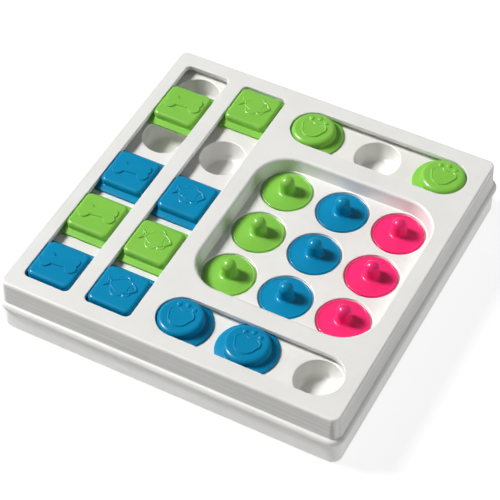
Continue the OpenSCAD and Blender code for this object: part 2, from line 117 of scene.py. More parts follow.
@dataclass(frozen=True)
class Ring:
    """A closed path that a section is carried round: corner centres and the directions out of them."""

    centres: np.ndarray
    outward: np.ndarray

    @classmethod
    def rounded(cls, width: float, depth: float, corner: float, middle: Point = (0.0, 0.0), turns: int = 12,
                step: float = 0.0) -> "Ring":
        """A rectangle with round corners, a stadium or a circle.

        Args:
            width: size along X at the corner radius.
            depth: size along Y at the corner radius.
            corner: corner radius.
            middle: centre of the path.
            turns: pieces that each quarter turn is cut into.
            step: longest piece of a straight side, or 0 to leave the sides whole.

        Returns:
            The path, anticlockwise from the right-hand side.
        """
        reach = np.array([max(width / 2 - corner, 0.0), max(depth / 2 - corner, 0.0)])
        signs = [np.array(s) for s in ((1, 1), (-1, 1), (-1, -1), (1, -1))]
        centres: list[np.ndarray] = []
        outward: list[np.ndarray] = []
        for quarter in range(4):
            here, there = signs[quarter] * reach, signs[(quarter + 1) % 4] * reach
            side = float(np.linalg.norm(there - here))
            for angle in np.radians(90 * quarter + np.linspace(0, 90, turns + 1)):
                centres.append(here)
                outward.append(np.array([math.cos(angle), math.sin(angle)]))
            if side < NO_LENGTH:
                centres.pop()
                outward.pop()
                continue
            pieces = max(1, math.ceil(side / step)) if step else 1
            for share in np.arange(1, pieces) / pieces:
                centres.append(here + (there - here) * share)
                outward.append(outward[-1])
        return cls(np.array(centres) + np.array(middle), np.array(outward))

    @classmethod
    def circle(cls, middle: Point, turns: int) -> "Ring":
        """A circle about a point, whose radius the section gives."""
        return cls.rounded(0.0, 0.0, 0.0, middle, turns)

    def at(self, reach: float) -> np.ndarray:
        """The path's points at a distance out of the corner centres."""
        return self.centres + self.outward * reach


class Shell:
    """A mesh under construction, in millimetres, closed from swept walls and flat areas."""

    def __init__(self) -> None:
        """Starts an empty mesh."""
        self.bm = bmesh.new()

    def loop(self, points: np.ndarray, heights: np.ndarray | float) -> Loop:
        """Adds one closed loop of points.

        Args:
            points: the points in plan.
            heights: one height for all, or one for each point.

        Returns:
            The new vertices, in order.
        """
        heights = np.broadcast_to(np.asarray(heights, float), (len(points),))
        return [self.bm.verts.new((x * MM, y * MM, z * MM)) for (x, y), z in zip(points, heights)]

    def join(self, low: Loop, high: Loop) -> None:
        """Joins two loops with a band of faces.

        Args:
            low: the first loop.
            high: the second loop, of equal length.
        """
        for i in range(len(low)):
            k = (i + 1) % len(low)
            self.bm.faces.new((low[i], low[k], high[k], high[i]))

    def sweep(self, ring: Ring, section: Sequence[Point]) -> list[Loop]:
        """Carries a section round a path.

        Args:
            ring: the path.
            section: points as distance out of the corner centres and height.

        Returns:
            One loop of vertices for each point of the section.
        """
        loops = [self.loop(ring.at(reach), z) for reach, z in section]
        for low, high in zip(loops, loops[1:]):
            self.join(low, high)
        return loops

    def fan(self, loop: Loop) -> None:
        """Closes a small round loop with triangles about its middle.

        Args:
            loop: the loop.
        """
        middle = self.bm.verts.new(sum((v.co for v in loop), Vector()) / len(loop))
        for a, b in zip(loop, loop[1:] + loop[:1]):
            self.bm.faces.new((a, b, middle))

    def span(self, *loops: Loop) -> None:
        """Closes a flat area.

        Args:
            loops: its outer loop and the loops inside it.
        """
        edges = []
        for loop in loops:
            for a, b in zip(loop, loop[1:] + loop[:1]):
                edges.append(self.bm.edges.get((a, b)) or self.bm.edges.new((a, b)))
        bmesh.ops.triangle_fill(self.bm, edges=edges, use_beauty=True, use_dissolve=False)

    def slab(self, outline: np.ndarray, holes: Sequence[Point], bore_r: float, low: float,
             high: float) -> None:
        """Adds a flat plate with round holes through it.

        Args:
            outline: the plate's edge in plan.
            holes: middles of the holes.
            bore_r: their radius.
            low: height of the underside.
            high: height of the upper side.
        """
        edges = [outline, *(Ring.circle(hole, turns=6).at(bore_r) for hole in holes)]
        under, upper = ([self.loop(edge, z) for edge in edges] for z in (low, high))
        for first, second in zip(under, upper):
            self.join(first, second)
        self.span(*under)
        self.span(*upper)

    def face_out(self) -> None:
        """Turns all the faces outwards."""
        bmesh.ops.recalc_face_normals(self.bm, faces=self.bm.faces[:])

    def write(self, mesh: bpy.types.Mesh, crisp: float) -> None:
        """Smooths the faces and puts them into a mesh, which ends the construction.

        Args:
            mesh: the mesh that is filled.
            crisp: angle in degrees from which an edge stays crisp.
        """
        for face in self.bm.faces:
            face.smooth = True
        for edge in self.bm.edges:
            edge.smooth = len(edge.link_faces) == 2 and edge.calc_face_angle(0.0) < math.radians(crisp)
        self.bm.to_mesh(mesh)
        self.bm.free()

    def finish(self, name: str, crisp: float = CRISP) -> bpy.types.Object:
        """Turns the faces outwards, smooths them and makes the object.

        Args:
            name: name of the piece.
            crisp: angle in degrees from which an edge stays crisp.

        Returns:
            The linked object, at the origin.
        """
        self.face_out()
        mesh = bpy.data.meshes.new(name)
        self.write(mesh, crisp)
        return link(name, mesh)


def link(name: str, mesh: bpy.types.Mesh) -> bpy.types.Object:
    """Puts a mesh into the scene as an object at the origin.

    Args:
        name: name of the object.
        mesh: its mesh.

    Returns:
        The linked object.
    """
    piece = bpy.data.objects.new(name, mesh)
    bpy.context.scene.collection.objects.link(piece)
    return piece


def applied(piece: bpy.types.Object) -> bpy.types.Mesh:
    """A new plain mesh of a piece, with its modifiers worked in."""
    graph = bpy.context.evaluated_depsgraph_get()
    return bpy.data.meshes.new_from_object(piece.evaluated_get(graph), depsgraph=graph)


def thicken(piece: bpy.types.Object, thickness: float) -> bpy.types.Object:
    """Gives an open sheet its wall, on the side away from its faces.

    Args:
        piece: the sheet.
        thickness: wall in millimetres.

    Returns:
        The same object with a closed mesh.
    """
    wall = piece.modifiers.new("wall", "SOLIDIFY")
    wall.thickness = thickness * MM
    wall.offset = -1.0
    wall.use_even_offset = True
    mesh = applied(piece)
    piece.modifiers.remove(wall)
    piece.data = mesh
    return piece


def face_up(sheet: bpy.types.Object) -> None:
    """Turns an open sheet so that its floor faces upwards.

    Args:
        sheet: the sheet.
    """
    mesh = sheet.data
    if sum(p.normal.z * p.area for p in mesh.polygons) < 0:
        mesh.flip_normals()


# Node trees


@dataclass(frozen=True)
class Socket:
    """An input or output of a node group, with its first value where it has one."""

    name: str
    kind: str = "Float"
    value: float | None = None


class Nodes:
    """Short hand for placing and wiring nodes in a tree."""

    def __init__(self, tree: bpy.types.NodeTree) -> None:
        """Takes the tree that is built."""
        self.tree = tree

    @classmethod
    def group(cls, name: str, kind: str, inputs: Sequence[Socket], outputs: Sequence[Socket]) -> "Nodes":
        """Starts a node group.

        Args:
            name: its name.
            kind: Blender's name for the kind of tree.
            inputs: its inputs, in order.
            outputs: its outputs, in order.

        Returns:
            The nodes of the new group.
        """
        nodes = cls(bpy.data.node_groups.new(name, kind))
        for side, sockets in (("INPUT", inputs), ("OUTPUT", outputs)):
            for socket in sockets:
                kind_name = f"NodeSocket{socket.kind}"
                made = nodes.tree.interface.new_socket(socket.name, in_out=side, socket_type=kind_name)
                if socket.value is not None:
                    made.default_value = socket.value
        return nodes

    def ends(self) -> tuple[bpy.types.NodeOutputs, bpy.types.NodeInputs]:
        """Adds the two ends of a group and gives the sockets inside them."""
        return self.add("NodeGroupInput").outputs, self.add("NodeGroupOutput").inputs

    def feed(self, target: bpy.types.NodeSocket, value: object) -> None:
        """Wires an output to an input, or sets the input's own value.

        Args:
            target: the input.
            value: a socket or a plain value.
        """
        if isinstance(value, bpy.types.NodeSocket):
            self.tree.links.new(value, target)
        else:
            target.default_value = value

    def add(self, kind: str, inputs: Inputs | None = None, **settings: object) -> bpy.types.Node:
        """Adds a node.

        Args:
            kind: Blender's name for it.
            inputs: sockets or values for its inputs, by name or place.
            settings: its properties.

        Returns:
            The node.
        """
        node = self.tree.nodes.new(kind)
        for name, value in settings.items():
            setattr(node, name, value)
        for key, value in (inputs or {}).items():
            self.feed(node.inputs[key], value)
        return node

    def out(self, kind: str, inputs: Inputs | None = None, **settings: object) -> bpy.types.NodeSocket:
        """Adds a node and gives its first output."""
        return self.add(kind, inputs, **settings).outputs[0]

    def math(self, operation: str, *values: object) -> bpy.types.NodeSocket:
        """Adds a math node on sockets or numbers and gives its output."""
        return self.out("ShaderNodeMath", dict(enumerate(values)), operation=operation)

    def noise(self, where: bpy.types.NodeSocket, scale: object, **look: float) -> bpy.types.NodeSocket:
        """Adds a noise texture and gives its value."""
        return self.out("ShaderNodeTexNoise", {"Vector": where, "Scale": scale, **look})


# Finishes


@cache
def moulded_grain() -> bpy.types.NodeTree:
    """The fine skin that all the finishes share.

    Returns:
        A shader group with Height, Tone and Sheen, each from 0 to 1.
    """
    nodes = Nodes.group(
        "MouldedGrain", "ShaderNodeTree",
        [Socket("Vector", "Vector"), Socket("Grain Scale", value=1400.0), Socket("Cloud Scale", value=22.0)],
        [Socket("Height"), Socket("Tone"), Socket("Sheen")])
    start, end = nodes.ends()
    flow_per_cloud = 9.0
    flow_scale = nodes.math("MULTIPLY", start["Cloud Scale"], flow_per_cloud)
    nodes.feed(end["Height"], nodes.noise(start["Vector"], start["Grain Scale"], Detail=3.0))
    nodes.feed(end["Tone"], nodes.noise(start["Vector"], start["Cloud Scale"], Detail=4.0, Roughness=0.6))
    nodes.feed(end["Sheen"], nodes.noise(start["Vector"], flow_scale, Detail=2.0, Distortion=0.8))
    return nodes.tree


@cache
def handling_marks() -> bpy.types.NodeTree:
    """Fine hairlines from use, in two directions.

    Returns:
        A shader group with a Mask that is 1 on a hairline.
    """
    nodes = Nodes.group("HandlingMarks", "ShaderNodeTree",
                        [Socket("Vector", "Vector"), Socket("Level", value=0.7)], [Socket("Mask")])
    start, end = nodes.ends()
    gain = 9.0
    masks = []
    for turn, stretch in ((0.5, (60.0, 2600.0, 60.0)), (-0.9, (2200.0, 45.0, 45.0))):
        place = nodes.out("ShaderNodeMapping",
                          {"Vector": start["Vector"], "Rotation": (0.0, 0.0, turn), "Scale": stretch})
        over = nodes.math("SUBTRACT", nodes.noise(place, 1.0, Detail=1.0), start["Level"])
        masks.append(nodes.math("MULTIPLY", nodes.math("MAXIMUM", over, 0.0), gain))
    nodes.feed(end["Mask"], nodes.math("MINIMUM", nodes.math("MAXIMUM", *masks), 1.0))
    return nodes.tree


@cache
def painted_wall_shade() -> bpy.types.NodeTree:
    """Painted shade along an outer wall, laid as fine lines that darken its tone below what the lamps give.

    Returns:
        A shader group with a Shade that is 1 off the wall and lower on it.
    """
    sizes = ("Half Width", "Half Depth", "Low", "High", "Depth")
    nodes = Nodes.group("DrawnWall", "ShaderNodeTree",
                        [Socket("Vector", "Vector"), *(Socket(name) for name in sizes)], [Socket("Shade")])
    start, end = nodes.ends()
    fade_h, stretch = 1.5 * MM, (9.0, 9.0, 520.0)
    split = nodes.add("ShaderNodeSeparateXYZ", {0: start["Vector"]}).outputs
    beside = nodes.math("GREATER_THAN", nodes.math("ABSOLUTE", split["X"]), start["Half Width"])
    before = nodes.math("GREATER_THAN", nodes.math("ABSOLUTE", split["Y"]), start["Half Depth"])
    fade = []
    for near, far in ((split["Z"], start["Low"]), (start["High"], split["Z"])):
        gap = nodes.math("DIVIDE", nodes.math("SUBTRACT", near, far), fade_h)
        fade.append(nodes.math("MINIMUM", nodes.math("MAXIMUM", gap, 0.0), 1.0))
    wall = nodes.math("MULTIPLY", nodes.math("MAXIMUM", beside, before), nodes.math("MULTIPLY", *fade))
    place = nodes.out("ShaderNodeMapping", {"Vector": start["Vector"], "Scale": stretch})
    # painted shade: noisy horizontal lines that darken the wall's band
    lines = nodes.math("MULTIPLY", start["Depth"], nodes.noise(place, 1.0, Detail=3.0))
    nodes.feed(end["Shade"], nodes.math("SUBTRACT", 1.0, nodes.math("MULTIPLY", wall, lines)))
    return nodes.tree


@dataclass(frozen=True)
class PaintedShadeBand:
    """The stretch of an outer wall that has painted shade, laid as fine lines, in millimetres, and how far the
    shade darkens it.
    """

    half_width: float
    half_depth: float
    low: float
    high: float
    # most that the painted shade takes off the wall's tone
    depth: float = 0.36

    def inputs(self) -> dict[str, float]:
        """Values for the shader group, with lengths in metres."""
        return {"Half Width": self.half_width * MM, "Half Depth": self.half_depth * MM, "Low": self.low * MM,
                "High": self.high * MM, "Depth": self.depth}


@dataclass(frozen=True)
class Finish:
    """A surface: its two tones and its roughness."""

    name: str
    colour: Colour
    deep: Colour
    roughness: float

    def material(self) -> bpy.types.Material:
        """Builds the material once.

        Returns:
            The material for this finish.
        """
        stuff = bpy.data.materials.get(self.name)
        if stuff is None:
            stuff = bpy.data.materials.new(self.name)
            stuff.use_nodes = True
            nodes = Nodes(stuff.node_tree)
            where = nodes.add("ShaderNodeTexCoord").outputs["Object"]
            shader = nodes.tree.nodes["Principled BSDF"].inputs
            for name, value in self.surface(nodes, where).items():
                nodes.feed(shader[name], value)
        return stuff

    def surface(self, nodes: Nodes, where: bpy.types.NodeSocket) -> dict[str, object]:
        """Sockets or values for the shader's inputs, which each kind of finish gives."""
        raise NotImplementedError

    def tone(self, nodes: Nodes, share: bpy.types.NodeSocket) -> bpy.types.NodeSocket:
        """Mixes the two tones.

        Args:
            nodes: the material's tree.
            share: the share of the paler tone.

        Returns:
            The colour.
        """
        tones = {"Factor": share, "A": (*self.deep, 1.0), "B": (*self.colour, 1.0)}
        return nodes.add("ShaderNodeMix", tones, data_type="RGBA").outputs["Result"]


@dataclass(frozen=True)
class PlasticFinish(Finish):
    """Moulded plastic or rubber: its gloss, its skin and its wear."""

    gloss_spread: float
    grain_depth: float
    grain_scale: float = 1400.0
    shine: float = 0.5
    coat: float = 0.0
    coat_roughness: float = 0.08
    cloud_low: float = 0.3
    cloud_high: float = 0.6
    mark_rub: float = 0.12
    mark_depth: float = 0.35
    grain_strength: float = 0.35
    # painted shade on an outer wall, laid as fine lines, where the finish has it
    drawn: PaintedShadeBand | None = None

    def surface(self, nodes: Nodes, where: bpy.types.NodeSocket) -> dict[str, object]:
        """Lays the skin and the hairlines.

        Args:
            nodes: the material's tree.
            where: the coordinates.

        Returns:
            Sockets or values for the shader's inputs.
        """
        skin = nodes.add("ShaderNodeGroup", {"Vector": where, "Grain Scale": self.grain_scale},
                         node_tree=moulded_grain()).outputs
        marks = nodes.out("ShaderNodeGroup", {"Vector": where}, node_tree=handling_marks())
        cloud = nodes.out("ShaderNodeMapRange", {
            "Value": skin["Tone"], "From Min": self.cloud_low, "From Max": self.cloud_high})
        gloss = nodes.out("ShaderNodeMapRange", {
            "Value": skin["Sheen"], "To Min": self.roughness - self.gloss_spread,
            "To Max": self.roughness + self.gloss_spread})
        grain = nodes.out("ShaderNodeBump", {
            "Strength": self.grain_strength, "Distance": self.grain_depth * MM,
            "Height": nodes.math("MULTIPLY_ADD", marks, -self.mark_depth, skin["Height"])})
        return {
            "Base Color": self.shaded(nodes, self.tone(nodes, cloud), where),
            "Roughness": nodes.math("MULTIPLY_ADD", marks, self.mark_rub, gloss),
            "Normal": grain,
            "Specular IOR Level": self.shine,
            "Coat Weight": self.coat,
            "Coat Roughness": self.coat_roughness,
        }

    def shaded(self, nodes: Nodes, tone: bpy.types.NodeSocket,
               where: bpy.types.NodeSocket) -> bpy.types.NodeSocket:
        """Lays the painted shade of an outer wall over the colour, where the finish has it.

        Args:
            nodes: the material's tree.
            tone: the plain colour.
            where: the coordinates.

        Returns:
            The colour with the painted shade in it.
        """
        if self.drawn is None:
            return tone
        shade = nodes.out("ShaderNodeGroup", {"Vector": where} | self.drawn.inputs(), node_tree=painted_wall_shade())
        laid = nodes.add("ShaderNodeMix", {"Factor": 1.0, "A": tone, "B": shade}, data_type="RGBA",
                         blend_type="MULTIPLY")
        return laid.outputs["Result"]


@dataclass(frozen=True)
class SteelFinish(Finish):
    """Zinc plated steel with a fine grain."""

    grain_scale: float = 3200.0
    cloud_scale: float = 260.0
    gloss_spread: float = 0.25
    grain_strength: float = 0.25
    grain_depth: float = 0.03

    def surface(self, nodes: Nodes, where: bpy.types.NodeSocket) -> dict[str, object]:
        """Lays the grain.

        Args:
            nodes: the material's tree.
            where: the coordinates.

        Returns:
            Sockets or values for the shader's inputs.
        """
        skin = nodes.add("ShaderNodeGroup", {
            "Vector": where, "Grain Scale": self.grain_scale, "Cloud Scale": self.cloud_scale,
        }, node_tree=moulded_grain()).outputs
        grain = nodes.out("ShaderNodeBump", {
            "Strength": self.grain_strength, "Distance": self.grain_depth * MM, "Height": skin["Height"]})
        return {
            "Metallic": 1.0,
            "Base Color": self.tone(nodes, skin["Tone"]),
            "Roughness": nodes.math("MULTIPLY_ADD", skin["Sheen"], self.gloss_spread, self.roughness),
            "Normal": grain,
        }


def gloss(tint: str, colour: str, deep: str, shine: float, coat: float) -> PlasticFinish:
    """The glossy plastic of the loose pieces, in one colour."""
    return PlasticFinish(f"{tint}_gloss", linear(colour), linear(deep), roughness=0.32, gloss_spread=0.05,
                         grain_depth=0.03, grain_scale=1100.0, shine=shine, coat=coat)


COVER_WHITE = PlasticFinish("cover_white", linear("e6e6e4"), linear("e1e1df"), roughness=0.46,
                            gloss_spread=0.05, grain_depth=0.05, shine=0.25)
TRAY_WHITE = PlasticFinish("tray_white", linear("e9e8e5"), linear("e3e2de"), roughness=0.4,
                           gloss_spread=0.05, grain_depth=0.04)
BASE_WHITE = PlasticFinish("base_white", linear("efefee"), linear("ebebea"), roughness=0.4,
                           gloss_spread=0.05, grain_depth=0.04, coat=0.3)
FOOT_RUBBER = PlasticFinish("foot_rubber", linear("3d3d3f"), linear("303032"), roughness=0.78,
                            gloss_spread=0.06, grain_depth=0.12, grain_scale=900.0)
SCREW_STEEL = SteelFinish("screw_steel", linear("c4c7cb"), linear("9fa3a8"), roughness=0.24)


class Tint(Enum):
    """Colours of the loose pieces."""

    GREEN = gloss("green", "84c74a", "7dc145", shine=0.1, coat=0.16)
    BLUE = gloss("blue", "0089b8", "0083b1", shine=0.04, coat=0.12)
    PINK = gloss("pink", "fb2c77", "f42670", shine=0.08, coat=0.14)

    @property
    def slot(self) -> str:
        """The record's material slot for this colour."""
        return f"{self.name.lower()}_plastic"


def dress(piece: bpy.types.Object, finish: Finish, body: str, slot: str, *nodes: str) -> None:
    """Gives a finished piece its material and sets it on its body.

    Args:
        piece: the object.
        finish: its finish.
        body: the CAD body it rides on.
        slot: the record's material slot, which is not used.
        nodes: CAD nodes that it stands for.
    """
    piece.data.materials.clear()
    piece.data.materials.append(finish.material())
    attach(piece, body)
    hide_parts(*nodes)
    log.info("%s: %d faces on %s", piece.name, len(piece.data.polygons), body)


def middle_of(node: str) -> Point:
    """Centre of a CAD node in plan, in millimetres."""
    low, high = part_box(node)
    return (low.x + high.x) / 2 / MM, (low.y + high.y) / 2 / MM


# Case


@dataclass
class Layout:
    """Outline, heights and fits that the mouldings share, in millimetres."""

    board_w: float = 304.5
    board_d: float = 305.1
    corner: float = 8.0
    wall: float = 2.6
    draft: float = 1.0
    rim_out: float = 3.5
    base_z: float = 1.6
    base_floor: float = 2.4
    cover_foot_z: float = 23.0
    top_z: float = 54.0
    panel_z: float = 49.8
    bed_z: float = 45.5
    recess_z: float = 41.5
    ledge_z: float = 38.9
    flange_z: float = 45.8
    slot_w: float = 42.0
    slot_l: float = 273.1
    slot_corner: float = 5.0
    round_slot_w: float = 40.4
    round_run: float = 121.1
    recess_w: float = 163.9
    recess_d: float = 162.1
    recess_corner: float = 33.5
    bone_x: float = -116.95
    fish_x: float = -60.55
    recess_x: float = 56.0
    round_x: float = 57.2
    round_y: float = 116.35
    cup_r: float = 19.7
    lid_pitch: float = 51.5
    flange: Point = (50.4, 49.4)
    round_flange_d: float = 52.0
    groove_gap: float = 0.5
    groove_over: float = 6.0
    end_gap: float = 0.8
    tray_wall: float = 1.8
    screw_bore_r: float = 1.15
    boss_gap: float = 3.7
    ear_x: float = 17.8
    ear_y: float = 145.05
    ear_r: float = 3.25
    ear_depth: float = 7.3
    ear_sink: float = 0.2
    lid_ear_x: float = 78.5
    lid_ear_y: float = 77.6

    def outline(self) -> Ring:
        """The path round the case, at its corner radius."""
        return Ring.rounded(self.board_w, self.board_d, self.corner, turns=20)

    def base_bosses(self) -> list[Point]:
        """Places the base screws, at the corners and beside the fish track.

        Returns:
            Their places, the front row first.
        """
        near = self.wall + self.draft + self.boss_gap
        edge, beside = self.board_w / 2 - near, (self.fish_x - self.bone_x) / 2
        columns = (-edge, self.fish_x - beside, self.fish_x + beside, edge)
        return [(x, side * (self.board_d / 2 - near)) for side in SIDES for x in columns]

    def round_wall_r(self) -> float:
        """Outer radius of a round-ended tray."""
        return self.round_flange_d / 2 + self.groove_gap + self.tray_wall

    def round_reach(self) -> float:
        """Distance along X and Y from a round end's centre to its screws."""
        return (self.round_wall_r() + self.boss_gap) * math.sqrt(0.5)

    def tray_ears(self) -> list[Point]:
        """Places the screws of the four track trays.

        Returns:
            Their places, those of the straight trays first.
        """
        tracks, reach = (self.bone_x, self.fish_x), self.round_reach()
        straight = [(x + sx * self.ear_x, sy * self.ear_y) for x in tracks for sx, sy in CORNERS]
        rounds = [(self.round_x + sx * (self.round_run / 2 + reach), y + sy * reach)
                  for y in (-self.round_y, self.round_y) for sx, sy in CORNERS]
        return straight + rounds

    def lid_ears(self) -> list[Point]:
        """Places of the screws of the lid tray."""
        return [(self.recess_x + sx * self.lid_ear_x, sy * self.lid_ear_y) for sx, sy in CORNERS]


@dataclass
class TopCover:
    """The white moulding with its slots, recess and rolled rim."""

    layout: Layout
    rim_h: float = 8.0
    edge_r: float = 2.0
    cove_r: float = 1.2
    chamfer: float = 0.4
    slot_edge_r: float = 0.6
    slot_chamfer: float = 0.3
    recess_edge_r: float = 3.0
    recess_slope: float = 2.2
    recess_wall: float = 2.4
    recess_gap: float = 0.02
    boss_r: float = 3.2
    boss_fillet: float = 0.6
    bore_depth: float = 6.5
    land: float = 0.7
    # band_inset and band_drop place the painted shade on the outer wall
    band_inset: float = 1.35
    band_drop: float = 0.7

    def wall_section(self) -> list[Point]:
        """Draws the outer wall.

        Returns:
            Points from the top face over the rim to the underside of the panel.
        """
        lay = self.layout
        slope = math.atan(lay.draft / (lay.top_z - lay.cover_foot_z - self.rim_h))
        edge_x = lay.corner - lay.draft - self.edge_r * (1 - math.sin(slope)) / math.cos(slope)
        rim_r = self.rim_h / 2
        rim = (lay.corner + lay.rim_out - rim_r, lay.cover_foot_z + rim_r)
        meet = math.asin((lay.corner + self.cove_r - rim[0]) / (rim_r + self.cove_r))
        cove = (lay.corner + self.cove_r, rim[1] + (rim_r + self.cove_r) * math.cos(meet))
        inside, under = lay.corner - lay.wall, lay.corner - lay.draft - lay.wall
        section = [(edge_x - self.land, lay.top_z)]
        section += arc((edge_x, lay.top_z - self.edge_r), self.edge_r, 90, math.degrees(slope), 8)
        section += arc(cove, self.cove_r, 180, 270 - math.degrees(meet), 5)
        section += arc(rim, rim_r, 90 - math.degrees(meet), -90, 14)[1:]
        section += [
            (inside + self.chamfer, lay.cover_foot_z),
            (inside, lay.cover_foot_z + self.chamfer),
            (inside, lay.cover_foot_z + self.rim_h),
            (under, lay.panel_z),
            (under - self.land, lay.panel_z),
        ]
        return section

    def slot_section(self, reach: float) -> list[Point]:
        """Draws the edge of a slot.

        Args:
            reach: its distance out of the slot's corner centres.

        Returns:
            Points from the top face to the underside of the panel.
        """
        lay, r, low = self.layout, self.slot_edge_r, self.slot_chamfer
        section = [(reach + r + self.land, lay.top_z)]
        section += arc((reach + r, lay.top_z - r), r, 90, 180, 5)
        section += [(reach, lay.panel_z + low), (reach + low, lay.panel_z), (reach + self.land, lay.panel_z)]
        return section

    def recess_section(self) -> list[Point]:
        """Draws the wall of the recess.

        Returns:
            Points from the top face down to the floor and back up behind.
        """
        lay, r = self.layout, self.recess_edge_r
        reach = lay.recess_corner - r
        foot, floor_z = reach - self.recess_slope, lay.recess_z + self.recess_gap
        section = [(lay.recess_corner + self.land, lay.top_z)]
        section += arc((lay.recess_corner, lay.top_z - r), r, 90, 180, 9)
        section += [
            (foot, floor_z),
            (foot + self.recess_wall, floor_z),
            (reach + self.recess_wall, lay.panel_z),
            (reach + self.recess_wall + self.land, lay.panel_z),
        ]
        return section

    def bosses(self, shell: Shell, places: Sequence[Point], low: float) -> None:
        """Adds screw bosses under the panel.

        Args:
            shell: the cover's mesh.
            places: where they stand.
            low: height of their lower ends.
        """
        lift, bore_r = self.layout.panel_z, self.layout.screw_bore_r
        section = [(self.boss_r + self.boss_fillet, lift), (self.boss_r, lift - self.boss_fillet),
                   (self.boss_r, low), (bore_r, low), (bore_r, low + self.bore_depth)]
        for place in places:
            loops = shell.sweep(Ring.circle(place, turns=6), section)
            shell.fan(loops[-1])
            shell.fan(loops[0])

    def openings(self) -> list[tuple[Ring, list[Point]]]:
        """Lists what is cut through the panel.

        Returns:
            The path and the section of each slot and of the recess.
        """
        lay = self.layout
        straight, half = self.slot_section(lay.slot_corner), lay.round_slot_w / 2
        rings = [(Ring.rounded(lay.slot_w, lay.slot_l, lay.slot_corner, (x, 0.0), 8), straight)
                 for x in (lay.bone_x, lay.fish_x)]
        for side in SIDES:
            middle = (lay.round_x, side * lay.round_y)
            ring = Ring.rounded(lay.round_run + 2 * half, 2 * half, half, middle, 24)
            rings.append((ring, self.slot_section(half)))
        recess = Ring.rounded(lay.recess_w, lay.recess_d, lay.recess_corner, (lay.recess_x, 0.0), 24)
        return [*rings, (recess, self.recess_section())]

    def build(self) -> bpy.types.Object:
        """Makes the cover as one closed moulding.

        Returns:
            The cover's object.
        """
        lay, shell = self.layout, Shell()
        walls = [shell.sweep(*cut) for cut in [(lay.outline(), self.wall_section()), *self.openings()]]
        shell.span(*(loops[0] for loops in walls))
        shell.span(*(loops[-1] for loops in walls))
        self.bosses(shell, lay.tray_ears(), lay.bed_z)
        self.bosses(shell, lay.lid_ears(), lay.recess_z)
        self.bosses(shell, lay.base_bosses(), lay.cover_foot_z)
        return shell.finish("cover_moulding")

    def painted_shade_band(self) -> PaintedShadeBand:
        """Finds the stretch of the outer wall that has painted shade.

        Returns:
            The band between the rim and the top edge.
        """
        lay = self.layout
        return PaintedShadeBand(lay.board_w / 2 - self.band_inset, lay.board_d / 2 - self.band_inset,
                         lay.cover_foot_z + self.rim_h - self.band_drop, lay.top_z - self.edge_r)

    def dress(self, piece: bpy.types.Object) -> None:
        """Finishes the cover."""
        # the outer wall gets painted shade in its colour
        dress(piece, replace(COVER_WHITE, drawn=self.painted_shade_band()), "board", "white_plastic", "top_cover")


@dataclass
class BaseTray:
    """The lower tray with its skirt, screw posts and foot seats."""

    layout: Layout
    skirt_out: float = 1.0
    skirt: float = 2.4
    tongue_h: float = 3.0
    tongue: float = 1.6
    tongue_gap: float = 0.3
    edge_r: float = 1.2
    lip_r: float = 0.5
    chamfer: float = 0.4
    post_r: float = 3.95
    head_bore_r: float = 2.55
    seat_r: float = 9.3
    seat_depth: float = 1.0
    seat_chamfer: float = 0.3
    foot_inset: float = 24.0
    land: float = 0.7

    def skirt_section(self) -> list[Point]:
        """Draws the skirt.

        Returns:
            Points from the underside round its foot, up to the tongue and down inside.
        """
        lay = self.layout
        out, inside_z = lay.corner + self.skirt_out, lay.base_z + lay.base_floor
        tongue_r = lay.corner - lay.wall - self.tongue_gap
        tongue_top, tongue_foot = lay.cover_foot_z + self.tongue_h, lay.cover_foot_z - self.tongue_h
        section = [(out - self.edge_r - self.land, lay.base_z)]
        section += arc((out - self.edge_r, lay.base_z + self.edge_r), self.edge_r, -90, 0, 6)
        section += arc((out - self.lip_r, lay.cover_foot_z - self.lip_r), self.lip_r, 0, 90, 3)
        section += [
            (tongue_r, lay.cover_foot_z),
            (tongue_r, tongue_top - self.chamfer),
            (tongue_r - self.chamfer, tongue_top),
            (tongue_r - self.tongue, tongue_top),
            (tongue_r - self.tongue, tongue_foot),
            (out - self.skirt, tongue_foot),
            (out - self.skirt, inside_z),
            (out - self.skirt - self.land, inside_z),
        ]
        return section

    def post_section(self) -> list[Point]:
        """Draws a screw post.

        Returns:
            Points from the floor inside, down its bore to the underside.
        """
        lay = self.layout
        inside_z, seat_z = lay.base_z + lay.base_floor, lay.cover_foot_z - lay.base_floor
        mouth_r = self.head_bore_r + self.chamfer
        return [
            (self.post_r + self.land, inside_z),
            (self.post_r, inside_z + self.land),
            (self.post_r, lay.cover_foot_z),
            (lay.screw_bore_r, lay.cover_foot_z),
            (lay.screw_bore_r, seat_z),
            (self.head_bore_r, seat_z),
            (self.head_bore_r, lay.base_z + self.chamfer),
            (mouth_r, lay.base_z),
            (mouth_r + self.land, lay.base_z),
        ]

    def seat_section(self) -> list[Point]:
        """Draws the seat of a foot.

        Returns:
            Points from the underside to the seat's floor.
        """
        low, mouth_r = self.layout.base_z, self.seat_r + self.seat_chamfer
        return [(mouth_r + self.land, low), (mouth_r, low), (self.seat_r, low + self.seat_chamfer),
                (self.seat_r, low + self.seat_depth)]

    def feet(self) -> list[Point]:
        """Places of the feet."""
        x, y = self.layout.board_w / 2 - self.foot_inset, self.layout.board_d / 2 - self.foot_inset
        return [(sx * x, sy * y) for sx, sy in CORNERS]

    def build(self) -> bpy.types.Object:
        """Makes the base tray as one closed moulding.

        Returns:
            The tray's object.
        """
        lay, shell = self.layout, Shell()
        skirt = shell.sweep(lay.outline(), self.skirt_section())
        unders, insides = [skirt[0]], [skirt[-1]]
        for place in lay.base_bosses():
            post = shell.sweep(Ring.circle(place, turns=10), self.post_section())
            insides.append(post[0])
            unders.append(post[-1])
        for place in self.feet():
            seat = shell.sweep(Ring.circle(place, turns=16), self.seat_section())
            shell.fan(seat[-1])
            unders.append(seat[0])
        shell.span(*unders)
        shell.span(*insides)
        return shell.finish("base_moulding")

    def dress(self, piece: bpy.types.Object) -> None:
        """Finishes the base tray."""
        dress(piece, BASE_WHITE, "board", "white_plastic", "base_tray")


# Trays


